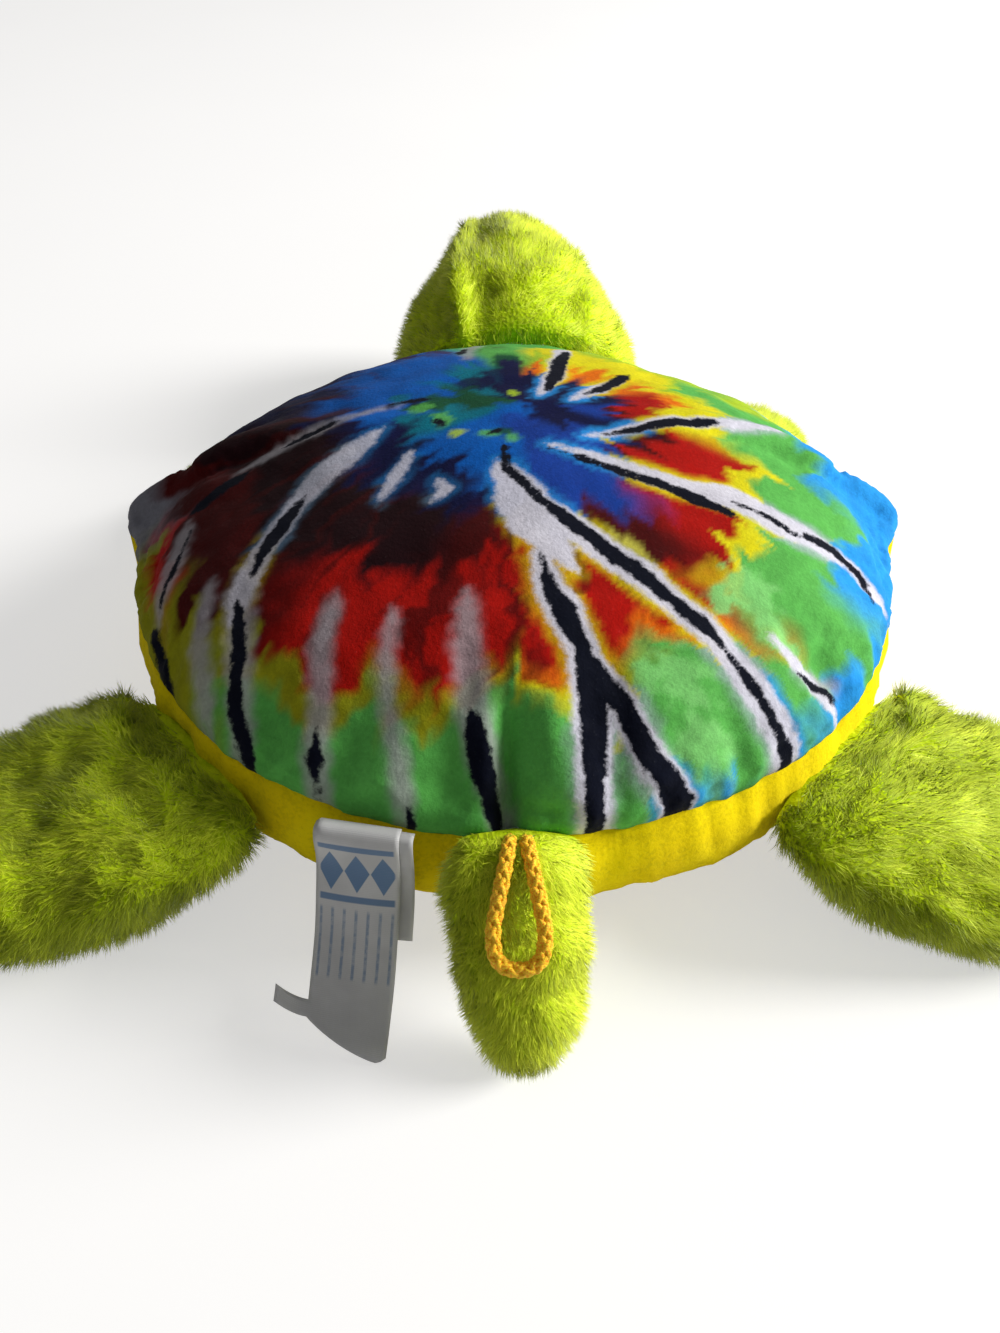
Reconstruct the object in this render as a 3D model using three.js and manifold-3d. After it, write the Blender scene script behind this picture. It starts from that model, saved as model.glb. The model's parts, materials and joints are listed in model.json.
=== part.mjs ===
// A plush sea turtle: printed shell, plain belly, furry head, flippers and tail, all stuffed,
// with a hanging loop and two sewn-in labels. Millimetres, +Z up, +Y towards the head,
// origin on the floor under the middle of the belly.
import * as THREE from 'three';
import { mergeVertices } from 'three/addons/utils/BufferGeometryUtils.js';
import Module from 'manifold-3d';

const wasm = await Module();
wasm.setup();

// Body
const SHELL_WIDTH = 229;
const REAR_REACH = 132;
const FRONT_REACH = 110;
const RIM_HEIGHT = 42;
const DOME_RISE = 42;
const FLAT_DEPTH = 0.5; // how much of the belly's swell is pressed flat by the floor
const SIDE_CORNER = 6; // how far the shell's side corners stand out of its oval
const CORNER_SPREAD_SHARE = 0.1;
const REAR_RIM_POWER = 2.1; // two is an oval, less is nearer to a diamond
const FRONT_RIM_POWER = 1.6;
const REAR_DOME_POWERS = [2.2, 1.6];
const FRONT_DOME_POWERS = [2.3, 1];
const BELLY_POWERS = [7, 2.4];
const DOME_RING_SHARES = [0.98, 0.92, 0.8, 0.6, 0.33];
const BELLY_RING_SHARES = [0.6, 0.84, 0.96];

// Cloth and clearances
const PRINT_CLOTH = 2;
const FUR_CLOTH = 3;
const GAP = 0.3;
const FILL_GAP = 0.5;
const OVERRUN = 5;

// Limbs, each measured outwards from the line where it is sewn on
const REAR_FLIPPER = {
  length: 75, rootHalfWidth: 29, halfWidth: 36, halfThickness: 15, rootRadius: 5, sweep: -36, droop: 17,
  seamHeight: 29, seamTurn: -48.5, swing: [-20, 30], crownTaper: 0,
  alongShares: [0, 0.12, 0.32, 0.56, 0.78, 0.93],
  widthShares: [0, 0.92, 1, 0.97, 0.82, 0.5],
  thickShares: [0, 0.66, 0.98, 0.97, 0.73, 0.4],
  sweepShares: [0, -0.03, 0.15, 0.48, 0.78, 0.97],
  droopShares: [0, 0.07, 0.42, 0.79, 0.98, 1],
};
const FRONT_FLIPPER = {
  ...REAR_FLIPPER,
  length: 41, rootHalfWidth: 22, halfWidth: 23, halfThickness: 12.5, sweep: 36, droop: 21.3,
  seamHeight: 31, seamTurn: 42,
  widthShares: [0, 0.83, 0.98, 1, 0.82, 0.5],
  sweepShares: [0, 0.06, 0.26, 0.53, 0.79, 0.96],
};
const FRONT_RIGHT_FLIPPER = { ...FRONT_FLIPPER, length: 54, sweep: -12, droop: 16.5 }; // it sticks out further
const TAIL = {
  length: 35.5, rootHalfWidth: 15.5, halfWidth: 16.5, halfThickness: 9.5, rootRadius: 4, sweep: -2, droop: 37,
  seamHeight: 41, seamTurn: -90, swing: [-15, 25], crownTaper: 0,
  alongShares: [0, 0.2, 0.42, 0.64, 0.82, 0.94],
  widthShares: [0, 1, 0.97, 0.86, 0.68, 0.43],
  thickShares: [0, 0.82, 1, 0.95, 0.75, 0.48],
  sweepShares: [0, 0.1, 0.2, 0.4, 0.7, 0.9],
  droopShares: [0, 0.13, 0.35, 0.62, 0.86, 1],
};
const HEAD = {
  length: 105, rootHalfWidth: 33, halfWidth: 46, halfThickness: 39.5, rootRadius: 8, sweep: 0, droop: -12,
  seamHeight: 31, seamTurn: 88.5, swing: [-12, 12], crownTaper: 0.3,
  alongShares: [0, 0.08, 0.16, 0.28, 0.42, 0.58, 0.73, 0.86, 0.95],
  widthShares: [0, 0.86, 0.97, 1, 0.92, 0.77, 0.64, 0.52, 0.37],
  thickShares: [0, 0.42, 0.8, 0.96, 1, 0.94, 0.81, 0.62, 0.41],
  sweepShares: [0, 0, 0, 0, 0, 0, 0, 0, 0],
  droopShares: [0, 0.1, 0.5, 0.8, 0.9, 1, 1.05, 1.05, 1],
};
const HEAD_TURN = 9; // degrees that the head looks to the left
const SEAM_SINK = 1.5; // how far inside the cloth's face a limb is sewn on
const CROSS_SECTION_POWER = 2.2;

// Eyes
const EYE_RADIUS = 6;
const EYE_RISE = 4.2;
const SHANK_RADIUS = 2;
const SHANK_LENGTH = 13;
const WASHER_RADIUS = 7;
const WASHER_THICKNESS = 1.2;
const WASHER_DEPTH = 3.2; // from the cloth's inner face to the washer
const EYE_STANDOFF = 0.6;
const EYE_STEPS = 5;
const EYE_ALONG_SHARE = 0.85;
const EYE_TURN = 0; // degrees above the head's widest line

// Hanging loop: how far its middle line stands to one side at each share of the tail's length
const CORD_DIAMETER = 3.6;
const LOOP_LIFT = 0.5;
const LOOP_HALF_WIDTHS = [2.3, 3.3, 4.7, 5.6, 4.9, 2.9];
const LOOP_ALONG_SHARES = [0.05, 0.18, 0.3, 0.4, 0.475, 0.51];
const LOOP_END_SHARE = 0.52;

// Labels
const LABEL_WIDTH = 20;
const LABEL_THICKNESS = 0.6;
const LABEL_TURN = -106; // degrees round the shell from its right-hand side
const LABEL_SIDE_TURN = 9; // degrees that the label is turned towards straight behind the turtle
const LABEL_FALL = [[2.3, 0], [3, -8], [7, -17], [15, -28], [25, -36.5], [34, -40.4]];
const LABEL_SLANT = 9; // how much shorter the label's far edge is than its near one
const TONGUE_LENGTH = 7;
const TONGUE_WIDTH = 3.2;
const SHORT_LABEL_WIDTH = 16;
const SHORT_LABEL_FALL = [[1.3, -1], [1.5, -9], [3.8, -17], [8.6, -25.5]];
const SHORT_LABEL_SHIFT = 5;

const ROUND_STEPS = 28;
const LIMB_STEPS = 12;
const HEAD_STEPS = 16;
const TAIL_STEPS = 12;
const SEAM_SIDES = 12;
const CORD_SIDES = 8;
const CORD_STEPS = 32;

const material = (color, roughness) => new THREE.MeshStandardMaterial({ color, roughness, metalness: 0 });
const PRINT = material(0x2f9a4a, 0.85);
const YELLOW = material(0xf2d400, 0.8);
const LIME_FUR = material(0xb4cc1a, 0.95);
const FIBREFILL = material(0xf2f2ee, 1);
const EYE_PLASTIC = material(0x0c0c0e, 0.15);
const WASHER_PLASTIC = material(0xe8e8e4, 0.5);
const ORANGE_CORD = material(0xf0a020, 0.6);
const SATIN = material(0xb9b6b0, 0.5);

const radians = THREE.MathUtils.degToRad;
const SMALL_TURN = radians(1);
const OVERHEAD = radians(90);

// Solids and meshes
function solidOf(geometry) {
  const bare = geometry.clone();
  bare.deleteAttribute('normal');
  bare.deleteAttribute('uv');
  const merged = mergeVertices(bare, 1e-4);
  return new wasm.Manifold(new wasm.Mesh({
    numProp: 3,
    vertProperties: new Float32Array(merged.getAttribute('position').array),
    triVerts: new Uint32Array(merged.index.array),
  }));
}

function meshOf(name, solid, look) {
  const { vertProperties, triVerts } = solid.getMesh();
  const geometry = new THREE.BufferGeometry();
  geometry.setAttribute('position', new THREE.BufferAttribute(vertProperties, 3));
  geometry.setIndex(new THREE.BufferAttribute(triVerts, 1));
  geometry.computeVertexNormals();
  const mesh = new THREE.Mesh(geometry, look);
  mesh.name = name;
  return mesh;
}

const moved = (solid, matrix) => solid.transform(matrix.elements);

// A closed skin over rings of points, drawn to a point at each end
function loft(first, rings, last) {
  const count = rings[0].length;
  const points = [first, ...rings.flat(), last];
  const faces = [];
  for (let k = 0; k < count; k++) {
    const next = (k + 1) % count;
    faces.push(0, 1 + next, 1 + k);
    for (let r = 0; r + 1 < rings.length; r++) {
      const a = 1 + r * count;
      const b = a + count;
      faces.push(a + k, a + next, b + next, a + k, b + next, b + k);
    }
    const top = 1 + (rings.length - 1) * count;
    faces.push(top + k, top + next, points.length - 1);
  }
  const geometry = new THREE.BufferGeometry().setFromPoints(points);
  geometry.setIndex(faces);
  return geometry;
}

// The shell's rim, seen from above, with turn counted from the turtle's right-hand side
function rimPoint(turn, inset = 0) {
  const [x, y] = [Math.cos(turn), Math.sin(turn)];
  const [reach, power] = y < 0 ? [REAR_REACH, REAR_RIM_POWER] : [FRONT_REACH, FRONT_RIM_POWER];
  const spread = (Math.abs(2 * x / SHELL_WIDTH) ** power + Math.abs(y / reach) ** power) ** (-1 / power);
  const corner = SIDE_CORNER * Math.exp(-((y / CORNER_SPREAD_SHARE) ** 2));
  return new THREE.Vector2(x, y).multiplyScalar(spread + corner - inset);
}

const swell = (share, [p, q]) => (1 - share ** p) ** (1 / q);
const swellEdge = (height, [p, q]) => (1 - height ** q) ** (1 / p);
// The dome is fuller at the rear than at the front
function domeSwell(share, turn) {
  const towardsFront = (1 + Math.sin(turn)) / 2;
  const powers = REAR_DOME_POWERS.map(
    (power, k) => THREE.MathUtils.lerp(power, FRONT_DOME_POWERS[k], towardsFront));
  return swell(share, powers);
}
const BELLY_DROP = RIM_HEIGHT + FLAT_DEPTH;

// The stuffed body, shrunk by inset all round
function bodyForm(inset) {
  const ring = (share, height) => Array.from({ length: ROUND_STEPS }, (_, k) => {
    const turn = (2 * Math.PI * k) / ROUND_STEPS;
    const flat = rimPoint(turn, inset).multiplyScalar(share);
    return new THREE.Vector3(flat.x, flat.y, height(share, turn));
  });
  const belly = (share) => RIM_HEIGHT - (BELLY_DROP - inset) * swell(share, BELLY_POWERS);
  const dome = (share, turn) => RIM_HEIGHT + (DOME_RISE - inset) * domeSwell(share, turn);
  const rings = [
    ...BELLY_RING_SHARES.map((share) => ring(share, belly)),
    ring(1, belly),
    ...DOME_RING_SHARES.map((share) => ring(share, dome)),
  ];
  const bottom = new THREE.Vector3(0, 0, RIM_HEIGHT - BELLY_DROP + inset);
  const top = new THREE.Vector3(0, 0, RIM_HEIGHT + DOME_RISE - inset);
  return solidOf(loft(bottom, rings, top));
}

// A block wider than the turtle, from one height to another
function slab(low, high) {
  const size = 2 * SHELL_WIDTH;
  const box = new THREE.BoxGeometry(size, size, high - low);
  box.translate(0, 0, (low + high) / 2);
  return solidOf(box);
}

// Where a limb is sewn on: a frame with x along the seam, y outwards and z up
function seamFrame({ seamTurn, seamHeight }, turned = 0) {
  const turn = radians(seamTurn);
  const along = rimPoint(turn + SMALL_TURN).sub(rimPoint(turn - SMALL_TURN));
  const outwards = Math.atan2(-along.x, along.y);
  const share = swellEdge(Math.max(0, RIM_HEIGHT - seamHeight) / BELLY_DROP, BELLY_POWERS);
  const place = rimPoint(turn, SEAM_SINK).multiplyScalar(share);
  const frame = new THREE.Group();
  frame.position.set(place.x, place.y, seamHeight);
  frame.rotation.z = outwards - Math.PI / 2 + turned;
  frame.updateMatrixWorld(true);
  return frame;
}

// A limb's middle line at each station, with side -1 for a left-hand limb; a sweep above zero
// leans towards the tail, and one below zero towards the head
function limbStations(limb, side) {
  const points = limb.alongShares.map((along, k) => new THREE.Vector3(
    side * limb.sweep * limb.sweepShares[k], limb.length * along, -limb.droop * limb.droopShares[k]));
  const tip = new THREE.Vector3(side * limb.sweep, limb.length, -limb.droop * limb.droopShares.at(-1));
  return { points, tip };
}

const rounded = (value) => Math.sign(value) * Math.abs(value) ** (2 / CROSS_SECTION_POWER);

function limbRing(limb, side, station, angles, inset) {
  const { points, tip } = limbStations(limb, side);
  const line = [...points, tip];
  const before = line[Math.max(0, station - 1)];
  const forward = line[station + 1].clone().sub(before).normalize();
  if (station === 0) forward.set(0, 1, 0);
  const across = new THREE.Vector3(1, 0, 0).addScaledVector(forward, -forward.x).normalize();
  const up = new THREE.Vector3().crossVectors(across, forward);
  const halfWidth = station ? limb.halfWidth * limb.widthShares[station] : limb.rootHalfWidth;
  const halfThickness = station ? limb.halfThickness * limb.thickShares[station] : limb.rootRadius;
  const taper = station ? limb.crownTaper : 0;
  return angles.map((angle) => {
    const [sideways, rise] = [rounded(Math.cos(angle)), rounded(Math.sin(angle))];
    return points[station].clone()
      .addScaledVector(across, (halfWidth - inset) * sideways * (1 - taper * rise))
      .addScaledVector(up, (halfThickness - inset) * rise);
  });
}

// A stuffed limb in its seam's frame, shrunk by inset and clear of the body through its swing
function limbForm(limb, side, steps, inset, frame) {
  const angles = Array.from({ length: steps }, (_, k) => (2 * Math.PI * k) / steps);
  const rings = limb.alongShares.map((_, station) => limbRing(limb, side, station, angles, inset).reverse());
  const { tip } = limbStations(limb, side);
  const end = tip.clone().add(new THREE.Vector3(0, -inset, 0));
  const skin = solidOf(loft(new THREE.Vector3(), rings, end));
  const nose = seamBar(limb.rootRadius, limb.rootHalfWidth);
  const pocket = seamBar(limb.rootRadius, limb.rootHalfWidth);
  const body = moved(bodyForm(-GAP - inset), frame.matrixWorld.clone().invert());
  const kept = inset ? body : body.subtract(pocket);
  let form = inset ? skin : skin.add(nose);
  for (const swing of limb.swing) {
    form = form.subtract(moved(kept, new THREE.Matrix4().makeRotationX(-radians(swing))));
  }
  return form.decompose().sort((a, b) => b.volume() - a.volume())[0];
}

// A round bar along a seam
function seamBar(radius, halfLength) {
  const bar = new THREE.CylinderGeometry(radius, radius, 2 * halfLength, SEAM_SIDES);
  return solidOf(bar.rotateZ(Math.PI / 2));
}

// The groove that a limb's sewn edge turns in
function seamGroove(limb, frame) {
  const radius = (limb.rootRadius + GAP) / Math.cos(Math.PI / SEAM_SIDES);
  return moved(seamBar(radius, limb.rootHalfWidth + GAP), frame.matrixWorld);
}

// The way into a fur cover through its sewn edge
function rootSlot(limb, wall) {
  const [behind, ahead] = [limb.rootRadius + OVERRUN, SEAM_SINK + GAP + wall + OVERRUN];
  const width = 2 * (limb.rootHalfWidth - FUR_CLOTH);
  const slot = new THREE.BoxGeometry(width, behind + ahead, limb.rootRadius);
  slot.translate(0, (ahead - behind) / 2, 0);
  return solidOf(slot);
}

function limbParts(name, limb, side, steps, frame, holes = null) {
  const wall = Math.min(FUR_CLOTH, limb.rootRadius / 2);
  let cover = limbForm(limb, side, steps, 0, frame)
    .subtract(limbForm(limb, side, steps / 2, wall, frame)).subtract(rootSlot(limb, wall));
  let filling = limbForm(limb, side, steps / 2, wall + FILL_GAP, frame);
  if (holes) {
    cover = cover.subtract(holes.cover);
    filling = filling.subtract(holes.filling);
  }
  frame.add(meshOf(`${name}_cover`, cover, LIME_FUR), meshOf(`${name}_stuffing`, filling, FIBREFILL));
  return frame;
}

// A point on a limb's fur, with the way that the fur faces there
function limbSurface(limb, alongShare, turn) {
  const { alongShares } = limb;
  let station = 0;
  while (alongShares[station + 1] < alongShare) station++;
  const part = (alongShare - alongShares[station]) / (alongShares[station + 1] - alongShares[station]);
  const near = limbRing(limb, 1, station, [turn, turn + SMALL_TURN], 0);
  const far = limbRing(limb, 1, station + 1, [turn, turn + SMALL_TURN], 0);
  const point = near[0].clone().lerp(far[0], part);
  const around = near[1].clone().lerp(far[1], part).sub(point);
  const outwards = new THREE.Vector3().crossVectors(far[0].clone().sub(near[0]), around).normalize();
  return { point, outwards };
}

// A round shape turned from its profile, standing on the head's fur at an eye
function onEye(profile, side) {
  const turn = side > 0 ? radians(EYE_TURN) : Math.PI - radians(EYE_TURN);
  const { point, outwards } = limbSurface(HEAD, EYE_ALONG_SHARE, turn);
  const turned = new THREE.Quaternion().setFromUnitVectors(new THREE.Vector3(0, 1, 0), outwards);
  const place = new THREE.Matrix4().compose(point, turned, new THREE.Vector3(1, 1, 1));
  const outline = profile.map(([radius, height]) => new THREE.Vector2(radius, height));
  return moved(solidOf(new THREE.LatheGeometry(outline, SEAM_SIDES)), place);
}

const domeProfile = Array.from({ length: EYE_STEPS }, (_, k) => {
  const turn = (k / EYE_STEPS) * (Math.PI / 2);
  return [EYE_RADIUS * Math.cos(turn), EYE_STANDOFF + EYE_RISE * Math.sin(turn)];
});
const rod = (radius, low, high) => [[0, low], [radius, low], [radius, high], [0, high]];
const washerFace = -FUR_CLOTH - WASHER_DEPTH;

const eye = (side) => onEye([
  [0, EYE_STANDOFF - SHANK_LENGTH], [SHANK_RADIUS, EYE_STANDOFF - SHANK_LENGTH],
  [SHANK_RADIUS, EYE_STANDOFF], ...domeProfile, [0, EYE_STANDOFF + EYE_RISE]], side);
const eyeWasher = (side) => onEye([
  [SHANK_RADIUS + GAP, washerFace - WASHER_THICKNESS], [WASHER_RADIUS, washerFace - WASHER_THICKNESS],
  [WASHER_RADIUS, washerFace], [SHANK_RADIUS + GAP, washerFace],
  [SHANK_RADIUS + GAP, washerFace - WASHER_THICKNESS]], side);
const shankHole = (side) => onEye(rod(SHANK_RADIUS + GAP, -SHANK_LENGTH - GAP, OVERRUN), side);
const washerPocket = (side) => onEye(
  rod(WASHER_RADIUS + GAP, washerFace - WASHER_THICKNESS - GAP, OVERRUN), side);

// A cord along a route, with a round section of a few sides
function cord(route, diameter) {
  const curve = new THREE.CatmullRomCurve3(route, false, 'centripetal');
  const section = new THREE.Shape(Array.from({ length: CORD_SIDES }, (_, k) => {
    const turn = (2 * Math.PI * k) / CORD_SIDES;
    return new THREE.Vector2((diameter / 2) * Math.cos(turn), (diameter / 2) * Math.sin(turn));
  }));
  return solidOf(new THREE.ExtrudeGeometry(
    section, { steps: CORD_STEPS, extrudePath: curve, bevelEnabled: false }));
}

// A ribbon that falls along a side-on line, as wide as given
function ribbon(fall, width) {
  const line = fall.map(([out, down]) => new THREE.Vector2(out, down));
  const back = line.map((point, k) => {
    const run = line[Math.min(k + 1, line.length - 1)].clone().sub(line[Math.max(k - 1, 0)]).normalize();
    return point.clone().add(new THREE.Vector2(run.y, -run.x).multiplyScalar(LABEL_THICKNESS));
  });
  const shape = new THREE.Shape([...line, ...back.reverse()]);
  const strip = new THREE.ExtrudeGeometry(shape, { depth: width, bevelEnabled: false, steps: 1 });
  strip.translate(0, 0, -width / 2);
  // The side-on drawing's axes become outwards and up, and its depth runs along the seam
  strip.applyMatrix4(new THREE.Matrix4().makeBasis(
    new THREE.Vector3(0, 1, 0), new THREE.Vector3(0, 0, 1), new THREE.Vector3(1, 0, 0)));
  return solidOf(strip);
}

// The main label: its lower edge slants, and a narrow tongue of it curls out at one side
function mainLabel() {
  const [[lastOut, lastDown], [nearOut, nearDown]] = [LABEL_FALL.at(-1), LABEL_FALL.at(-2)];
  const slope = Math.atan2(lastDown - nearDown, lastOut - nearOut);
  const wedge = new THREE.Shape([
    new THREE.Vector2(-LABEL_WIDTH / 2, 0), new THREE.Vector2(LABEL_WIDTH / 2 + OVERRUN, -LABEL_SLANT),
    new THREE.Vector2(LABEL_WIDTH / 2 + OVERRUN, OVERRUN), new THREE.Vector2(-LABEL_WIDTH / 2, OVERRUN)]);
  const cutter = new THREE.ExtrudeGeometry(wedge, { depth: 2 * OVERRUN, bevelEnabled: false });
  cutter.translate(0, 0, -OVERRUN).rotateX(slope).translate(0, lastOut, lastDown);
  const tongue = new THREE.BoxGeometry(2 * TONGUE_LENGTH, TONGUE_WIDTH, LABEL_THICKNESS);
  tongue.translate(LABEL_WIDTH / 2, -LABEL_SLANT - TONGUE_WIDTH / 2, -LABEL_THICKNESS / 2);
  tongue.rotateX(slope).translate(0, lastOut, lastDown);
  return ribbon(LABEL_FALL, LABEL_WIDTH).subtract(solidOf(cutter)).add(solidOf(tongue));
}

function makeBody(grooves) {
  const outside = bodyForm(0);
  const inside = bodyForm(PRINT_CLOTH);
  const filling = bodyForm(PRINT_CLOTH + GAP);
  const top = 2 * (RIM_HEIGHT + DOME_RISE);
  const above = slab(RIM_HEIGHT + GAP / 2, top);
  const below = slab(0, RIM_HEIGHT - GAP / 2);
  const hollow = inside.add(inside.intersect(slab(-top, RIM_HEIGHT)));
  const body = new THREE.Group();
  const cutAll = (solid) => grooves.reduce((left, groove) => left.subtract(groove), solid);
  body.add(
    meshOf('shell_cover', cutAll(outside.intersect(above).subtract(hollow)), PRINT),
    meshOf('belly_cover', cutAll(outside.intersect(below).subtract(hollow)), YELLOW),
    meshOf('body_stuffing', cutAll(filling), FIBREFILL),
  );
  return body;
}

function makeHead(frame) {
  const both = (hole) => hole(1).add(hole(-1));
  const holes = { cover: both(shankHole), filling: both(shankHole).add(both(washerPocket)) };
  const head = limbParts('head', HEAD, 1, HEAD_STEPS, frame, holes);
  for (const [name, side] of [['left', -1], ['right', 1]]) {
    head.add(meshOf(`eye_${name}`, eye(side), EYE_PLASTIC));
    head.add(meshOf(`eye_washer_${name}`, eyeWasher(side), WASHER_PLASTIC));
  }
  return head;
}

// The loop's cord lies along the top of the tail, and both its ends start at the tail's seam
function makeTail(frame) {
  const tail = limbParts('tail', TAIL, 1, TAIL_STEPS, frame);
  const onTail = (sideways, alongShare) => {
    const { point, outwards } = limbSurface(TAIL, alongShare, OVERHEAD);
    point.addScaledVector(outwards, CORD_DIAMETER / 2 + LOOP_LIFT);
    return point.setX(sideways);
  };
  const halves = [-1, 1].map((side) => LOOP_HALF_WIDTHS.map(
    (half, k) => onTail(side * half, LOOP_ALONG_SHARES[k])));
  const route = [...halves[0], onTail(0, LOOP_END_SHARE), ...halves[1].reverse()];
  tail.add(meshOf('hang_loop', cord(route, CORD_DIAMETER), ORANGE_CORD));
  return tail;
}

function makeLabels() {
  const frame = seamFrame({ seamTurn: LABEL_TURN, seamHeight: RIM_HEIGHT - GAP }, radians(LABEL_SIDE_TURN));
  const sunk = new THREE.Vector3(0, SEAM_SINK, 0);
  const short = meshOf('short_label', ribbon(SHORT_LABEL_FALL, SHORT_LABEL_WIDTH), SATIN);
  const main = meshOf('care_label', mainLabel(), SATIN);
  main.position.copy(sunk);
  short.position.copy(sunk).add(new THREE.Vector3(-SHORT_LABEL_SHIFT, 0, 0));
  frame.add(main, short);
  return frame;
}

const mirrored = (limb) => ({ ...limb, seamTurn: 180 - limb.seamTurn });
const limbs = [
  ['front_right_flipper', FRONT_RIGHT_FLIPPER, 1], ['front_left_flipper', mirrored(FRONT_FLIPPER), -1],
  ['rear_right_flipper', REAR_FLIPPER, 1], ['rear_left_flipper', mirrored(REAR_FLIPPER), -1],
].map(([name, limb, side]) => ({ name, limb, side, frame: seamFrame(limb) }));
const headFrame = seamFrame(HEAD, radians(HEAD_TURN));
const tailFrame = seamFrame(TAIL);

const turtle = new THREE.Group();
turtle.add(makeBody([
  ...limbs.map(({ limb, frame }) => seamGroove(limb, frame)),
  seamGroove(HEAD, headFrame),
  seamGroove(TAIL, tailFrame),
]));
for (const { name, limb, side, frame } of limbs) {
  turtle.add(limbParts(name, limb, side, LIMB_STEPS, frame));
}
turtle.add(makeHead(headFrame), makeTail(tailFrame), makeLabels());

export default turtle;
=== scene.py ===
"""A plush sea turtle: printed velour shell, plain belly, furry head, flippers and tail, a braided
hanging loop and two sewn-in labels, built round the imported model's bodies.

Shapes are worked out in millimetres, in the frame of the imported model, and written in metres.
"""

import functools
import json
import math
from typing import NamedTuple

import bmesh
import bpy
import numpy as np
from bpy.props import FloatProperty, FloatVectorProperty, PointerProperty
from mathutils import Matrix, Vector, kdtree, noise


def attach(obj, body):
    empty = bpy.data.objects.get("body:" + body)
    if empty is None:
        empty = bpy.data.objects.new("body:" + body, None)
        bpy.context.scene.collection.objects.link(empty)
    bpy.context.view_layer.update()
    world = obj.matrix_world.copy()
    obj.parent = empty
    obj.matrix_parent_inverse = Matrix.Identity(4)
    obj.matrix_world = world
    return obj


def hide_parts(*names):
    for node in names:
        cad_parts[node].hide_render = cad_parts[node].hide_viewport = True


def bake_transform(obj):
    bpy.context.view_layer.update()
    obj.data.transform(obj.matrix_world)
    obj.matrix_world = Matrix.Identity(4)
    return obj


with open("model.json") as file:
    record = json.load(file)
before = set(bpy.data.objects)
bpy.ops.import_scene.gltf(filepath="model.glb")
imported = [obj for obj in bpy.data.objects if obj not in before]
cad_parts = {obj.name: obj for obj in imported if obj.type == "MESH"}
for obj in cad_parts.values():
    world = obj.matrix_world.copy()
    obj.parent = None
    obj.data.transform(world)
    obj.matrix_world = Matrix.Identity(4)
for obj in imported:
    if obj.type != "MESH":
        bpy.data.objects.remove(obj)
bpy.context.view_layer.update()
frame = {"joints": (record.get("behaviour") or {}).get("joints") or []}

bl_info = {
    "name": "Plush Turtle",
    "version": (1, 0, 0),
    "blender": (4, 5, 0),
    "location": "View3D > Sidebar > Turtle",
    "description": "Makes the cloth, fur, cord, labels and eyes of a plush turtle",
    "category": "Object",
}

MM = 0.001
PILE_MAP = "OFBake"

# The body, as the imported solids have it
SHELL_HALF_WIDTH = 114.5
REAR_REACH, FRONT_REACH = 132, 110
REAR_RIM_POWER, FRONT_RIM_POWER = 2.1, 1.6
SIDE_CORNER, CORNER_SPREAD = 6, 0.1
RIM_HEIGHT, DOME_RISE, BELLY_DEPTH = 42, 42, 42.5
REAR_DOME_POWERS, FRONT_DOME_POWERS = (2.2, 1.6), (2.3, 1.0)
BELLY_POWERS = (7, 2.4)


class Limb(NamedTuple):
    """A limb in its seam's frame: x along the seam, y outwards, z up."""

    length: float
    root_half_width: float
    half_width: float
    half_thickness: float
    root_radius: float
    sweep: float
    droop: float
    along: tuple
    width: tuple
    thick: tuple
    sweep_shares: tuple
    droop_shares: tuple
    crown_taper: float = 0


REAR_FLIPPER = Limb(
    75, 29, 36, 15, 5, -36, 17, (0, 0.12, 0.32, 0.56, 0.78, 0.93),
    (0, 0.92, 1, 0.97, 0.82, 0.5), (0, 0.66, 0.98, 0.97, 0.73, 0.4),
    (0, -0.03, 0.15, 0.48, 0.78, 0.97), (0, 0.07, 0.42, 0.79, 0.98, 1))
FRONT_FLIPPER = REAR_FLIPPER._replace(
    length=41, root_half_width=22, half_width=23, half_thickness=12.5, sweep=36, droop=21.3,
    width=(0, 0.83, 0.98, 1, 0.82, 0.5), sweep_shares=(0, 0.06, 0.26, 0.53, 0.79, 0.96))
FRONT_RIGHT_FLIPPER = FRONT_FLIPPER._replace(length=54, sweep=-12, droop=16.5)
TAIL = Limb(
    35.5, 15.5, 16.5, 9.5, 4, -2, 37, (0, 0.2, 0.42, 0.64, 0.82, 0.94),
    (0, 1, 0.97, 0.86, 0.68, 0.43), (0, 0.82, 1, 0.95, 0.75, 0.48),
    (0, 0.1, 0.2, 0.4, 0.7, 0.9), (0, 0.13, 0.35, 0.62, 0.86, 1))
HEAD = Limb(
    105, 33, 46, 39.5, 8, 0, -12, (0, 0.08, 0.16, 0.28, 0.42, 0.58, 0.73, 0.86, 0.95),
    (0, 0.86, 0.97, 1, 0.92, 0.77, 0.64, 0.52, 0.37), (0, 0.42, 0.8, 0.96, 1, 0.94, 0.81, 0.62, 0.41),
    (0,) * 9, (0, 0.1, 0.5, 0.8, 0.9, 1, 1.05, 1.05, 1), crown_taper=0.3)
CROSS_SECTION_POWER = 2.2
TAKEN_IN = 2.2  # how far a fur cover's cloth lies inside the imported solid, so that its pile ends outside it
CLOTH_WALL = 0.9

# The hanging loop's middle line along the top of the tail, right half, from its seam to its bend
LOOP_HALF = ((1.85, -127.6, 37.2), (1.85, -131.2, 41.6), (2.0, -135.2, 44.9), (3.1, -142.02, 44.4),
             (4.7, -148.63, 40.32), (5.6, -153.13, 36.77), (4.9, -156.42, 32.91), (2.9, -157.67, 31.2))
LOOP_BEND = (0, -158.02, 30.71)
CORD_DIAMETER = 3.6

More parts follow.
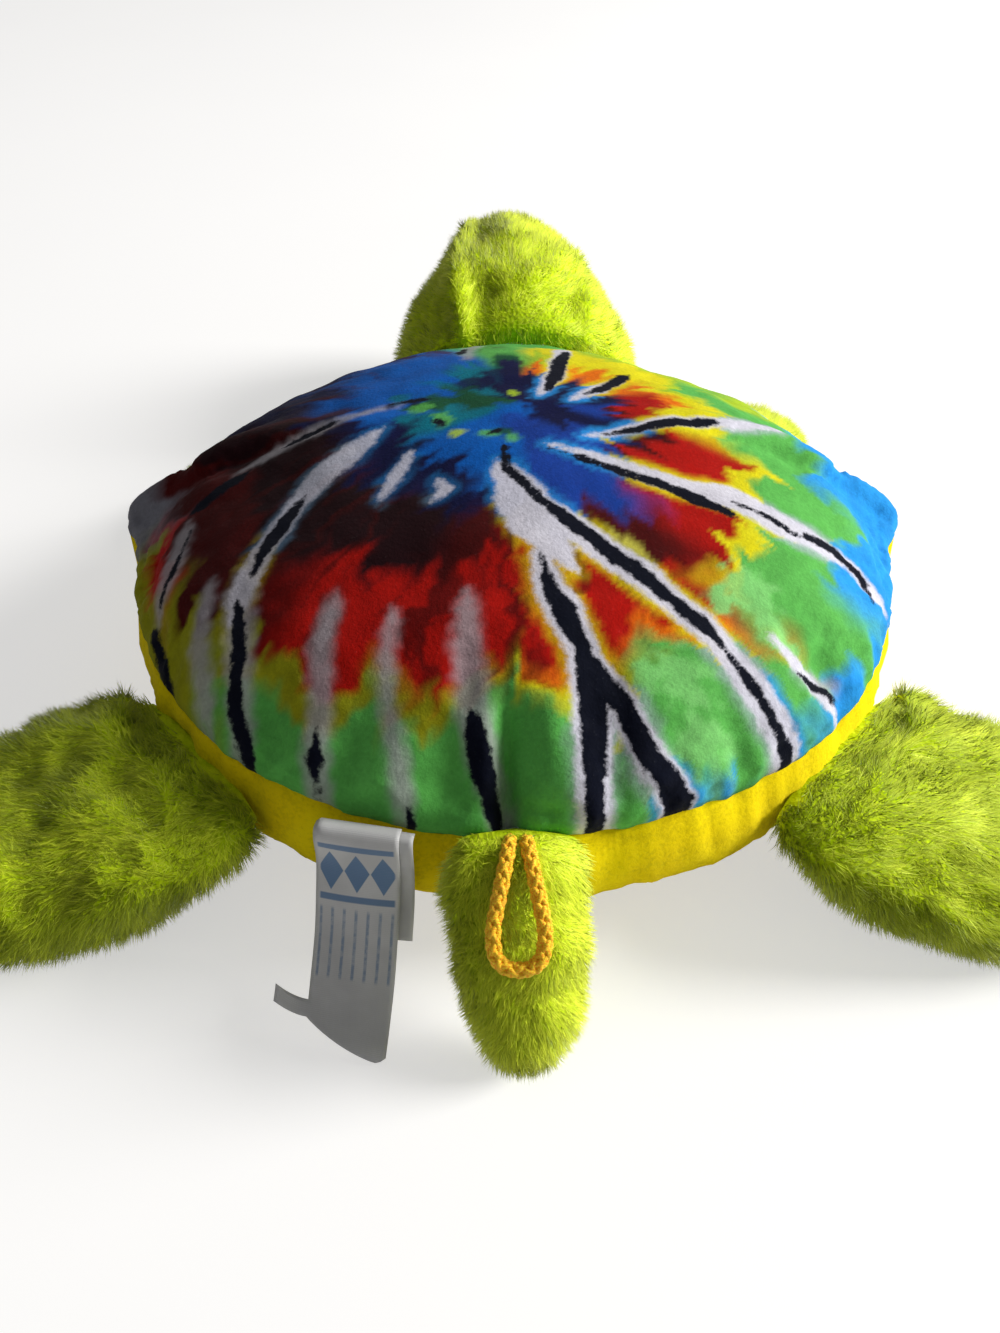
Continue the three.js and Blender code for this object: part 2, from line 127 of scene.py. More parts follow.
# The labels, in the frame of the seam that holds them: how far out and how far down they fall
LABEL_FRAME = ((-36.304, -127.776, 41.7), (-0.985296, 0.170858, 0))
LABEL_WIDTH, SHORT_LABEL_WIDTH, SHORT_LABEL_SHIFT = 20, 16, -5
LABEL_SHIFT_OUT = 1.5
LABEL_BEND = ((0, -0.5, 1), (0, 5.5, -7))  # points in that frame where the labels' bend would begin and end; they are read, but nothing here bends the labels
LABEL_FALL = ((-2.5, 0.9), (0.8, 1.5), (2.6, -0.6), (3.2, -8), (7, -17), (15, -28), (25, -36.5),
              (32.4, -40.2))
SHORT_LABEL_FALL = ((-2.5, -0.1), (0.2, 0.3), (1.3, -1.6), (1.7, -9), (3.8, -17), (8.6, -25.5))
LABEL_SLANT, TONGUE_LENGTH, TONGUE_WIDTH = 8, 9, 3.9

EYE_SEATS = {
    "right": ((22.303, 198.133, 43.6), (0.8748, 0.4101, 0.2580)),
    "left": ((-26.315, 195.500, 43.6), (-0.9162, 0.3140, 0.2491)),
}

# Dyes, and how far out from the middle each one reaches along the folds of the tied cloth
DYES = {
    "navy": (10, 15, 60), "royal": (20, 60, 150), "blue": (0, 90, 180), "teal": (0, 110, 130),
    "pine": (20, 80, 50), "maroon": (70, 4, 4), "plum": (32, 5, 11), "red": (175, 15, 5),
    "orange": (230, 110, 10), "yellow": (225, 215, 20), "lime": (170, 200, 40),
    # painted_light_green is the green dye painted paler, as painted light where the lamp falls strongest
    "green": (92, 178, 80), "painted_light_green": (130, 208, 116), "sky": (40, 150, 230), "olive": (150, 150, 20),
    # grey is the undyed cloth's colour with painted shade, for the left edge
    "grey": (120, 120, 130), "faded": (172, 168, 174),
}
DYE_MIDDLE = (3, -3)
# At the rear left, turns -180 to -100, the folds take darker colours than at the right: plum and olive there
# are dyes darkened in part as painted shade, and grey is undyed cloth painted grey with shade at the left
# edge
DYE_FOLDS = {
    -180: "pine 10 28, blue 32 48, navy 52 60, plum 64 92, maroon 96 104, grey 112 130",
    -160: "teal 12 34, navy 40 54, plum 58 84, maroon 88 108, red 112 114, olive 118 130",
    -140: "blue 12 34, navy 38 54, plum 58 84, maroon 88 104, olive 108 130",
    -120: "blue 12 34, navy 38 50, plum 54 72, red 77 104, olive 108 112, green 116 130",
    -100: "royal 0 18, blue 22 44, navy 47 55, maroon 59 69, red 72 98, olive 105 107, green 111 130",
    -85: "navy 0 4, royal 12 50, maroon 55 60, red 63 99, orange 103 103, yellow 106 106, green 110 130",
    -65: "navy 0 6, royal 12 48, maroon 56 70, red 76 91, orange 95 97, green 101 122, sky 127 130",
    -45: "navy 0 14, royal 18 29, maroon 34 37, red 41 71, yellow 74 79, green 82 110, sky 114 130",
    -25: "navy 0 29, maroon 33 35, red 39 59, yellow 62 67, green 71 94, sky 98 130",
    0: "navy 0 11, royal 14 26, maroon 29 30, red 32 41, yellow 46 59, green 63 87, sky 91 130",
    12: "navy 0 27, red 34 40, orange 44 46, yellow 50 55, green 60 84, sky 92 130",
    25: "navy 0 24, orange 32 40, yellow 45 49, lime 52 54, green 57 66, lime 76 86, sky 94 130",
    45: "navy 0 21, orange 28 34, yellow 38 52, lime 57 66, green 76 90, sky 100 130",
    60: "navy 0 19, orange 25 32, yellow 38 50, lime 55 60, green 66 130",
    80: "navy 0 21, orange 25 29, lime 33 40, yellow 44 54, green 62 130",
    100: "navy 0 24, pine 27 30, green 36 130",
    120: "navy 0 18, teal 22 32, blue 40 66, navy 76 130",
    140: "navy 0 8, teal 12 28, blue 36 70, navy 82 130",
    160: "pine 10 24, blue 28 58, navy 66 130",
    180: "pine 10 28, blue 32 48, navy 52 60, plum 64 92, maroon 96 104, grey 112 130",
}
# Where the tied middle let drops of dye through: x, y, radius and dye
DYE_SPOTS = (
    (-11, 12, 6, "navy"), (-4, 15, 7, "navy"), (-1, 8, 4.5, "navy"), (-13, 5, 3.6, "pine"),
    (0, 4.5, 2.1, "lime"), (-1, -8, 5.5, "blue"), (0, -14, 5, "royal"), (-7, -20, 2.6, "green"),
    (-1, -22, 2.2, "green"), (-4, -18, 2.4, "pine"), (-20, -11, 3.6, "green"),
    (-27, -3, 3.4, "green"), (-31, -9, 3, "teal"), (-17, -4, 3, "teal"), (-16, -19, 2.2, "lime"),
    (-24, 3, 3, "pine"), (-34, 5, 3.4, "teal"),
    (-44, 8, 4.4, "blue"), (-21, -13, 1.4, "navy"), (-29, 1, 1.6, "navy"), (-36, 0, 1.5, "navy"),
    # The pale green spots at the rear right are painted light, where the lamp falls strongest on the shell
    (38, -101, 6.5, "painted_light_green"), (43, -113, 6.5, "painted_light_green"), (30, -101, 3.5, "painted_light_green"), (58, -73, 7, "painted_light_green"),
    (64, -84, 5, "painted_light_green"), (50, -78, 4, "painted_light_green"),
)
# Where the folds kept the dye out: x, y and half the width, again and again along each line
UNDYED_LINES = (
    (-2, -37, 2.5, 2, -46, 4.5, 6, -53, 5, 16, -61, 4.6, 30, -72, 4.4, 44, -85, 4.2, 54, -97, 4.2,
     65, -109, 4.5),
    (-4, -38, 2.5, -1, -50, 4.5, 4, -60, 5.5, 10, -68, 4),
    (6, -71, 3, 8, -80, 4, 11, -86, 4.6, 15, -96, 4, 17, -108, 4.6, 17, -118, 4.8, 17.4, -130, 4),
    (18, -100, 3.2, 25, -110, 3.6, 30, -119, 3.8, 38, -124, 3.8),
    (10, -26, 1.2, 26, -32, 2.6, 44, -38, 3.6, 58, -40, 6, 70, -46, 5, 90, -48, 3, 97, -54, 3),
    (21, -19, 1.4, 30, -15, 1.8, 44, -8, 2.6, 60, -3, 2.6, 78, 4, 2),
    (18, 3, 1.6, 25, 11, 3, 32, 20, 1.8), (8, 6, 1.6, 13, 20, 2.6, 16, 46, 3),
    (-39, -16, 1.8, -46, -24, 4.2, -53, -31, 4.6, -59, -42, 3, -66, -58, 3.4, -70, -72, 3.6),
    (-29, -28, 0.8, -32, -36, 2.2, -35, -44, 1.2), (-20, -40, 0.8, -18, -44, 1.8, -21, -48, 0.8),
    (63, -85, 0.9, 69, -90, 2.4, 77, -93, 2.2),
)
# The same where some dye crept in, so that the lines are dim and soft
FADED_LINES = (
    (-12, -84, 2, -12, -94, 3, -11, -104, 3, -10, -112, 3.6, -4, -126, 3),
    (-30, -86, 1.2, -31, -98, 1.8, -30, -108, 1.4, -26, -124, 2.4),
    (-45, -80, 1.6, -47, -92, 2.4, -46, -104, 2.4, -47, -114, 3, -46, -122, 2.4),
    (-70, -70, 3.6, -68, -88, 3.2, -66, -106, 2.6), (-92, -36, 2, -93, -48, 3.4, -94, -60, 2),
    (-44, -3, 1.2, -56, -7, 3, -70, -12, 2.4, -78, -16, 1.2), (-46, -4, 1, -34, 1, 0.8),
    (-14, 36, 1.2, -15, 52, 2.4, -13, 72, 2.4, -12, 95, 2), (66, -86, 0.8, 70, -90, 1.8, 78, -88, 1.2),
    (-76, -96, 2, -80, -80, 2.4, -79, -66, 1.4),
)
# The same for the ink that ran along the folds
INK_LINES = (
    (-3, -27, 1.2, -2, -37, 1.6, 6, -50, 2.2, 16, -60, 2.4, 30, -72, 2.4, 44, -85, 2.4, 50, -92, 1.2,
     54, -97, 1.2, 60, -104, 1.6, 65, -109, 2.2),
    (6, -71, 1, 8, -80, 2, 11, -86, 3, 15, -96, 2, 17, -108, 3, 17, -118, 3.2, 17.4, -130, 2.2),
    (18, -100, 1.8, 25, -110, 2.2, 30, -119, 2.5, 38, -124, 2.8),
    (8, -27, 0.8, 22, -33, 1.5, 38, -38, 1.6, 48, -43, 2, 56, -47, 1.8),
    (60, -43, 1.2, 68, -45, 1.2, 74, -48, 1), (78, -47, 1.5, 86, -46, 2, 94, -51, 2, 96, -58, 0.8),
    (24, -17.6, 0.9, 34, -14, 1.3, 46, -8, 2.2, 58, -3.6, 2), (21, 6, 1, 28, 14, 2.5, 34, 24, 2),
    (10, 8, 1, 13, 20, 2.3, 15, 32, 2.8, 17, 42, 1.2), (-17, 46, 1.6, -16, 60, 1.1),
    (-36, 2, 0.8, -26, 3, 1.6), (-53, -6, 1.6, -64, -10, 1.6), (-79, -20, 2.5, -89, -26, 2),
    (-58, -41, 1.8, -64, -54, 2.6, -67, -64, 1),
    (-70, -74, 1.4, -68, -88, 1.6, -68, -100, 1.8, -64, -108, 1.2),
    (-90, -36, 0.5, -92, -48, 0.6, -94, -60, 0.6), (-96, -66, 1.4, -89, -82, 0.8),
    (-10, -114, 2.5, -8, -120, 2.8, -5.5, -126, 1.8), (-24.5, -127, 1.2, -24, -128, 1),
    (-47, -114, 2.2, -47, -115, 2), (-46, -121, 1.4, -46, -122, 1.2), (70, -92, 1, 77, -91, 1.4),
    (-22, -12, 1.2, -21, -13, 1), (-5, -18, 1.2, -6, -19, 1),
)


# ---------------------------------------------------------------- Settings

def length_property(name, description, default):
    return FloatProperty(name=name, description=description, default=default, min=0, unit="LENGTH")


def color_property(name, description, default):
    return FloatVectorProperty(
        name=name, description=description, default=default, subtype="COLOR", size=3, min=0, max=1)


def linear(color):
    """The linear values of a colour that is given as it looks on a screen, 0 to 255."""
    shown = np.array(color) / 255
    return tuple(np.where(shown <= 0.04045, shown / 12.92, ((shown + 0.055) / 1.055) ** 2.4).tolist())


class StageSettings(bpy.types.PropertyGroup):
    lens: FloatProperty(
        name="Lens", description="Focal length, in mm, on a 36 mm wide sensor", default=31.06, min=1)
    floor_color: color_property("Floor", "Colour of the floor", (0.97, 0.962, 0.955))
    floor_lift: FloatProperty(
        name="Floor Lift", description="How near to white the floor is brought where it is seen",
        default=0.43, min=0, max=1, subtype="FACTOR")
    key_power: FloatProperty(
        name="Key Power", description="Power of the large lamp at the right", default=84, min=0, unit="POWER")
    sky_strength: FloatProperty(
        name="Sky Strength", description="Brightness of the even light all round", default=0.21, min=0)


class CordSettings(bpy.types.PropertyGroup):
    diameter: length_property("Diameter", "Thickness of the braided cord", CORD_DIAMETER * MM)
    pitch: length_property("Pitch", "Length in which a yarn goes once round the cord", 0.0136)
    # The two yarn colours are a painted highlight and a painted shade, mixed at random along the cord
    yarn_highlight_color: color_property("Light Yarn", "Colour of the yarns' tops", linear((255, 222, 50)))
    yarn_shade_color: color_property("Dark Yarn", "Colour between the yarns", linear((240, 140, 5)))


class LabelSettings(bpy.types.PropertyGroup):
    width: length_property("Width", "Width of the long label", LABEL_WIDTH * MM)
    thickness: length_property("Thickness", "Thickness of the ribbon", 0.00035)
    satin_color: color_property("Satin", "Colour of the ribbon", linear((206, 206, 206)))
    band_color: color_property("Band", "Colour of the woven bands", linear((52, 104, 150)))


class ShellSettings(bpy.types.PropertyGroup):
    pucker: length_property("Pucker", "Height of the puckers along the edge's seam", 0.0006)
    dart_depth: length_property("Dart Depth", "Depth of the tuck at the rear", 0.0068)
    undyed_color: color_property("Undyed", "Colour of the cloth that took no dye", linear((214, 212, 226)))
    ink_color: color_property("Ink", "Colour of the dark dye along the folds", linear((9, 13, 28)))


class BellySettings(bpy.types.PropertyGroup):
    color: color_property("Belly", "Colour of the plain velour", linear((252, 226, 6)))


class FurSettings(bpy.types.PropertyGroup):
    flipper_length: length_property("Flipper Pile", "Length of the flippers' pile", 0.0052)
    head_length: length_property("Head Pile", "Length of the head's pile", 0.0044)
    tail_length: length_property("Tail Pile", "Length of the tail's pile", 0.0046)
    strand_width: length_property("Tuft Width", "Width of one tuft at its root", 0.00034)
    tip_color: color_property("Tips", "Colour of the pile's tips", linear((240, 255, 58)))
    # The roots' colour is painted shade: the pile is drawn darker deep down, where less light reaches
    root_shade_color: color_property("Roots", "Colour deep in the pile", linear((190, 218, 12)))


class EyeSettings(bpy.types.PropertyGroup):
    radius: length_property("Radius", "Radius of an eye", 0.006)
    rise: length_property("Rise", "Height of an eye's dome", 0.0042)
    color: color_property("Eye", "Colour of the eyes", (0.006, 0.005, 0.006))


# ---------------------------------------------------------------- Shapes

def smooth_table(x, knots, values):
    """Reads a table along a smooth line through its values that doesn't overshoot them."""
    knots, values = np.asarray(knots, float), np.asarray(values, float)
    steps = np.diff(knots)
    slopes = np.diff(values) / steps
    pairs = slopes[:-1] * slopes[1:]
    sums = np.where(pairs > 0, slopes[:-1] + slopes[1:], 1)
    inner = np.where(pairs > 0, 2 * pairs / sums, 0)
    tangents = np.concatenate([slopes[:1], inner, slopes[-1:]])
    k = np.clip(np.searchsorted(knots, x, side="right") - 1, 0, len(steps) - 1)
    t, h = (x - knots[k]) / steps[k], steps[k]
    return (values[k] * (1 + 2 * t) * (1 - t) ** 2 + h * tangents[k] * t * (1 - t) ** 2
            + values[k + 1] * t * t * (3 - 2 * t) + h * tangents[k + 1] * t * t * (t - 1))


def smoothstep(low, high, x):
    t = np.clip((x - low) / (high - low), 0, 1)
    return t * t * (3 - 2 * t)


def unit(vectors):
    return vectors / np.maximum(np.linalg.norm(vectors, axis=-1, keepdims=True), 1e-9)


def soft_noise(points, size, seed):
    """Soft noise, about -1 to 1, with lumps of a size in millimetres."""
    shift = Vector((seed * 17.3, seed * 5.1, seed * 9.7))
    return np.array([noise.noise(Vector(p) / size + shift) for p in np.asarray(points, float).tolist()]) * 1.6


def layered_noise(points, *layers):
    """Layers of soft noise on one another, each with its height, size and seed."""
    return sum(height * soft_noise(points, size, seed) for height, size, seed in layers)


def round_points(across, turn, height):
    """Points at distances from the z axis, turns round it and heights."""
    return np.stack(np.broadcast_arrays(across * np.cos(turn), across * np.sin(turn), height), -1)


def toward(values, others, share):
    """Colours or points that are brought nearer to others by shares."""
    return values * (1 - share)[:, None] + others * share[:, None]


def keep_above(points, height):
    """Lifts the points that lie lower than a height above the floor."""
    points[:, 2] = np.maximum(points[:, 2], height)


def rim_radius(turn):
    """How far the seam along the body's edge is from the middle."""
    x, y = np.cos(turn), np.sin(turn)
    power = np.where(y < 0, REAR_RIM_POWER, FRONT_RIM_POWER)
    reach = np.where(y < 0, REAR_REACH, FRONT_REACH)
    oval = (np.abs(x / SHELL_HALF_WIDTH) ** power + np.abs(y / reach) ** power) ** (-1 / power)
    return oval + SIDE_CORNER * np.exp(-(y / CORNER_SPREAD) ** 2)


def dome_height(share, turn):
    front = (1 + np.sin(turn)) / 2
    p, q = (REAR_DOME_POWERS[k] + front * (FRONT_DOME_POWERS[k] - REAR_DOME_POWERS[k]) for k in (0, 1))
    return RIM_HEIGHT + DOME_RISE * (1 - share ** p) ** (1 / q)


def belly_height(share):
    p, q = BELLY_POWERS
    return np.maximum(RIM_HEIGHT - BELLY_DEPTH * (1 - share ** p) ** (1 / q), 0)


def in_body(points, margin=0.0):
    """Whether points in millimetres lie in the body."""
    x, y, z = points.T
    turn = np.arctan2(y, x)
    share = np.hypot(x, y) / (rim_radius(turn) - margin)
    inside = np.minimum(share, 1)
    return (share < 1) & (z < dome_height(inside, turn) - margin) & (z > belly_height(inside) + margin)


class Seam(NamedTuple):
    """The frame of a sewn seam: where it is, and the way that it runs."""

    origin: np.ndarray
    axes: np.ndarray

    def to_world(self, points):
        return points @ self.axes + self.origin


def seam_at(origin, along):
    x = unit(np.array(along, float))
    return Seam(np.array(origin, float), np.stack([x, np.cross((0, 0, 1), x), (0, 0, 1)]))


def joint_seam(name):
    joint = next(j for j in frame["joints"] if j["name"] == name)
    return seam_at(np.array(joint["pos_m"]) / MM, joint["axis"])


def rounded(value):
    return np.sign(value) * np.abs(value) ** (2 / CROSS_SECTION_POWER)


def limb_line(limb, side, along):
    """The middle line of a limb at shares of its length."""
    knots = (*limb.along, 1)
    sideways = side * limb.sweep * smooth_table(along, knots, (*limb.sweep_shares, 1))
    down = -limb.droop * smooth_table(along, knots, (*limb.droop_shares, limb.droop_shares[-1]))
    return np.stack([sideways, limb.length * along, down], -1)


# Shares of a limb's length: where its rings stand square to its middle line, where its crown's taper
# is full, and how far to either side the middle line's direction is read
STRAIGHT_ROOT, TAPER_START, LOOK_AHEAD = 0.14, 0.08, 0.03


def limb_points(limb, side, along, angle, inset):
    """Points of a limb's skin in its seam's frame."""
    tipwards = np.sqrt(np.clip(1 - along, 0, 1))
    knots = (0, *np.sqrt(1 - np.array(limb.along))[::-1])
    halves = []
    for root, half, shares in ((limb.root_half_width, limb.half_width, limb.width),
                               (limb.root_radius, limb.half_thickness, limb.thick)):
        sizes = (0, *(half * np.array(shares[1:]))[::-1], root)
        halves.append(smooth_table(tipwards, knots, sizes) * (1 - inset / half))
    shorter = along * (1 - inset / limb.length)
    centre = limb_line(limb, side, shorter)
    ahead = unit(limb_line(limb, side, np.minimum(shorter + LOOK_AHEAD, 1))
                 - limb_line(limb, side, np.maximum(shorter - LOOK_AHEAD, 0)))
    bent = smoothstep(0, STRAIGHT_ROOT, along)[:, None]
    forward = unit(ahead * bent + np.array((0, 1, 0)) * (1 - bent))
    across = unit(np.array((1, 0, 0)) - forward * forward[:, :1])
    up = np.cross(across, forward)
    sideways, rise = rounded(np.cos(angle)), rounded(np.sin(angle))
    taper = limb.crown_taper * smoothstep(0, TAPER_START, along)
    return (centre + across * (halves[0] * sideways * (1 - taper * rise))[:, None]
            + up * (halves[1] * rise)[:, None])


def sphere_places(bm):
    """Each vertex's share of the way from the top pole to the bottom one, and its turn round them."""
    places = np.array([v.co for v in bm.verts])
    return np.arccos(np.clip(places[:, 2], -1, 1)) / math.pi, np.arctan2(places[:, 1], places[:, 0])


ROOT_DEPTH = 4  # how far the middle of a limb's closed root lies behind its seam
RING_CROWDING = 1.7  # above 1, a limb's rings lie closer together towards its tip


def limb_mesh(limb, side, rings, steps, inset):
    """A limb's closed skin, with its vertices' places, shares of the length and turns."""
    bm = bmesh.new()
    bmesh.ops.create_uvsphere(bm, u_segments=steps, v_segments=rings, radius=1)
    polar, turn = sphere_places(bm)
    ring = polar * rings
    along = 1 - (1 - np.clip((rings - 1 - ring) / (rings - 1), 0, 1)) ** RING_CROWDING
    points = limb_points(limb, side, along, turn, inset)
    points[ring > rings - 0.5] = (0, -ROOT_DEPTH, 0)
    return bm, points, along, turn


def put(bm, points):
    """Moves the vertices to points in millimetres."""
    for vert, point in zip(bm.verts, (points * MM).tolist()):
        vert.co = point
    bmesh.ops.recalc_face_normals(bm, faces=bm.faces)


def normals_of(bm):
    bm.normal_update()
    return np.array([v.normal for v in bm.verts])


def piece(bm, name, material_made, smooth=True):
    """The finished object of a mesh, which stands at the origin with its place in its mesh."""
    mesh = bpy.data.meshes.new(name)
    bm.to_mesh(mesh)
    bm.free()
    if smooth:
        mesh.shade_smooth()
    return link(name, mesh, material_made)


def placed(name, data):
    obj = bpy.data.objects.new(name, data)
    bpy.context.scene.collection.objects.link(obj)
    return obj


def link(name, mesh, material_made):
    mesh.materials.append(material_made)
    return placed(name, mesh)


def wall(obj, thickness, offset=-1):
    """Gives a piece's cloth its thickness."""
    made = obj.modifiers.new("Cloth wall", "SOLIDIFY")
    made.thickness, made.offset = thickness, offset


def tree_of(points):
    """A tree that finds the nearest of some points."""
    tree = kdtree.KDTree(len(points))
    for k, point in enumerate(points):
        tree.insert(point, k)
    tree.balance()
    return tree


# ---------------------------------------------------------------- Stuffed cloth

CLOTH_CELL = 5  # size of the cells of the coarse cloth, in millimetres
CLOTH_FRAMES = 20
CLOTH_BREADTH = 24  # swelling that is broader than this is taken off
CLOTH_EXCESS = 0.05  # how much larger than its seams the cloth is cut
CLOTH_MOST = 2.6  # the most that the cloth may move
CLOTH_SETTINGS = {
    "quality": 6, "mass": 0.02, "air_damping": 2, "tension_stiffness": 8, "compression_stiffness": 8,
    "shear_stiffness": 3, "bending_stiffness": 0.1, "shrink_min": -CLOTH_EXCESS, "use_pressure": True,
    "uniform_pressure_force": 4, "vertex_group_mass": "held",
}
LOOK_UP_COUNT, LOOK_UP_SOFTNESS = 6, 0.6  # coarse points that a fine one follows, and their spread


def vertex_points(mesh):
    """A mesh's vertices in millimetres."""
    flat = np.empty(3 * len(mesh.vertices))
    mesh.vertices.foreach_get("co", flat)
    return flat.reshape(-1, 3) / MM


def stuffed(bm, held):
    """Blows up a coarse copy of a closed skin as cloth, and gives a way to look up how far it moves.

    The broad swelling is taken off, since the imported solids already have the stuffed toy's size. What
    is left is where the cloth is drawn in at its seams and puffs up between them.
    """
    scene = bpy.context.scene
    mesh = bpy.data.meshes.new("cloth copy")
    bm.to_mesh(mesh)
    obj = placed("cloth copy", mesh)
    cells = obj.modifiers.new("Cells", "REMESH")
    cells.mode, cells.voxel_size = "VOXEL", CLOTH_CELL * MM
    coarse = bpy.data.meshes.new_from_object(obj.evaluated_get(bpy.context.evaluated_depsgraph_get()))
    obj.modifiers.clear()
    obj.data = coarse
    start = vertex_points(coarse)
    free = 1 - held(start)
    pins = obj.vertex_groups.new(name="held")
    for k in np.flatnonzero(free < 1).tolist():
        pins.add([k], float(1 - free[k]), "REPLACE")
    cloth = obj.modifiers.new("Stuffed cloth", "CLOTH")
    for key, value in CLOTH_SETTINGS.items():
        setattr(cloth.settings, key, value)
    cloth.settings.effector_weights.gravity = 0
    cloth.point_cache.frame_start, cloth.point_cache.frame_end = 1, CLOTH_FRAMES
    for number in range(1, CLOTH_FRAMES + 1):
        scene.frame_set(number)
    blown = obj.evaluated_get(bpy.context.evaluated_depsgraph_get()).to_mesh()
    moves = vertex_points(blown) - start
    bpy.data.objects.remove(obj)
    for used in (mesh, coarse):
        bpy.data.meshes.remove(used)
    scene.frame_set(1)
    tree = tree_of(start)
    moves -= np.array([moves[[k for _, k, _ in tree.find_range(point, CLOTH_BREADTH)]].mean(0)
                       for point in start])
    moves *= np.minimum(1, CLOTH_MOST / np.maximum(np.linalg.norm(moves, axis=1), 1e-6))[:, None]

    def look_up(points):
        carried = []
        for point in points:
            near = tree.find_n(point, LOOK_UP_COUNT)
            nearness = np.array([1 / (LOOK_UP_SOFTNESS + far) ** 2 for _, _, far in near])
            carried.append(nearness @ moves[[k for _, k, _ in near]] / nearness.sum())
        return np.array(carried)
    return look_up


# ---------------------------------------------------------------- Materials

def plug(tree, socket, value):
    """Links a socket to another one, or gives it a plain value."""
    if isinstance(value, bpy.types.NodeSocket):
        tree.links.new(value, socket)
    else:
        socket.default_value = (*value[:3], 1) if socket.type == "RGBA" else value


def node(tree, kind, sockets=None, **settings):
    """A node with its settings, and its sockets set or linked."""
    made = tree.nodes.new(kind)
    for key, value in settings.items():
        setattr(made, key, value)
    for key, value in (sockets or {}).items():
        plug(tree, made.inputs[key], value)
    return made


def mix(tree, factor, a, b, blend="MIX"):
    """Mixes two colours; a colour mix node's sockets 0, 6 and 7 are its factor and its colours."""
    return node(tree, "ShaderNodeMix", {0: factor, 6: a, 7: b}, data_type="RGBA", blend_type=blend,
                clamp_factor=True).outputs[2]


def maths(tree, operation, *values):
    """One operation on two values, or on more, one after the other."""
    first, *others = values
    for other in others or [0.0]:
        first = node(tree, "ShaderNodeMath", {0: first, 1: other}, operation=operation).outputs[0]
    return first


def between(tree, value, low, high, to_low=0.0, to_high=1.0):
    made = node(tree, "ShaderNodeMapRange", {
        "Value": value, "From Min": low, "From Max": high, "To Min": to_low, "To Max": to_high,
    }, interpolation_type="SMOOTHSTEP")
    return made.outputs["Result"]


def grain(tree, scale, detail=2.0, vector=None, rough=0.5):
    where = vector or node(tree, "ShaderNodeTexCoord").outputs["Object"]
    return node(tree, "ShaderNodeTexNoise", {
        "Vector": where, "Scale": scale, "Detail": detail, "Roughness": rough}).outputs["Fac"]


def stretched(tree, scale):
    where = node(tree, "ShaderNodeTexCoord").outputs["Object"]
    return node(tree, "ShaderNodeMapping", {"Vector": where, "Scale": scale}).outputs["Vector"]


def group(name, inputs, outputs, fill):
    """A node group with named inputs and outputs, made once."""
    made = bpy.data.node_groups.get(name)
    if made:
        return made
    made = bpy.data.node_groups.new(name, "ShaderNodeTree")
    for label, kind, default in inputs:
        socket = made.interface.new_socket(label, in_out="INPUT", socket_type=kind)
        socket.default_value = default
    for label, kind in outputs:
        made.interface.new_socket(label, in_out="OUTPUT", socket_type=kind)
    given = made.nodes.new("NodeGroupInput").outputs
    found = fill(made, given)
    last = made.nodes.new("NodeGroupOutput")
    for label, socket in found.items():
        made.links.new(socket, last.inputs[label])
    return made


def velour_pile():
    """Short pile that lies in patches: lighter and darker flecks, and the height of its tufts."""
    def fill(tree, given):
        tufts = grain(tree, 900.0, 3.0, rough=0.65)
        patches = grain(tree, 150.0, 3.0, rough=0.6)
        broad = grain(tree, 38.0, 2.0)
        fleck = maths(
            tree, "ADD", maths(tree, "MULTIPLY", tufts, 0.55), maths(tree, "MULTIPLY", patches, 0.45))
        amount = maths(tree, "MULTIPLY", between(tree, fleck, 0.36, 0.64), given["Amount"])
        darker = mix(tree, 1.0, given["Color"], (0.82, 0.82, 0.82), "MULTIPLY")
        lit = mix(tree, amount, darker, given["Color"])
        worn = mix(tree, between(tree, broad, 0.45, 0.75, 0.0, 0.18), lit, (1, 1, 1), "SOFT_LIGHT")
        lighter = mix(tree, between(tree, tufts, 0.62, 0.8, 0.0, 0.02), worn, (0.9, 0.9, 0.9))
        return {"Color": lighter, "Height": fleck}
    return group(
        "Velour pile", [("Color", "NodeSocketColor", (1, 1, 1, 1)), ("Amount", "NodeSocketFloat", 1.0)],
        [("Color", "NodeSocketColor"), ("Height", "NodeSocketFloat")], fill)


def material(name):
    """A new material with its tree and its surface shader."""
    made = bpy.data.materials.new(name)
    made.use_nodes = True
    tree = made.node_tree
    return made, tree, next(n for n in tree.nodes if n.type == "BSDF_PRINCIPLED")


def finish_shader(tree, shader, color, roughness, height=None, bump=0.5, depth=0.0003, **others):
    """Fills in a surface shader's sockets, with a bump where a height is given."""
    for key, value in {"Base_Color": color, "Roughness": roughness, **others}.items():
        plug(tree, shader.inputs[key.replace("_", " ")], value)
    if height is not None:
        made = node(tree, "ShaderNodeBump", {"Height": height, "Strength": bump, "Distance": depth})
        tree.links.new(made.outputs["Normal"], shader.inputs["Normal"])


def finish_velour(tree, shader, color, amount, bump):
    """Short pile of a colour, with patches that are rougher."""
    pile = node(tree, "ShaderNodeGroup", {"Color": color, "Amount": amount}, node_tree=velour_pile())
    rough = between(tree, grain(tree, 200.0), 0.3, 0.7, 0.82, 0.96)
    finish_shader(tree, shader, pile.outputs["Color"], rough, pile.outputs["Height"], bump, 0.0005,
                  Sheen_Weight=0.02, Sheen_Roughness=0.6, Specular_IOR_Level=0.06)


def attribute(tree, name, output="Fac"):
    return node(tree, "ShaderNodeAttribute", attribute_name=name).outputs[output]


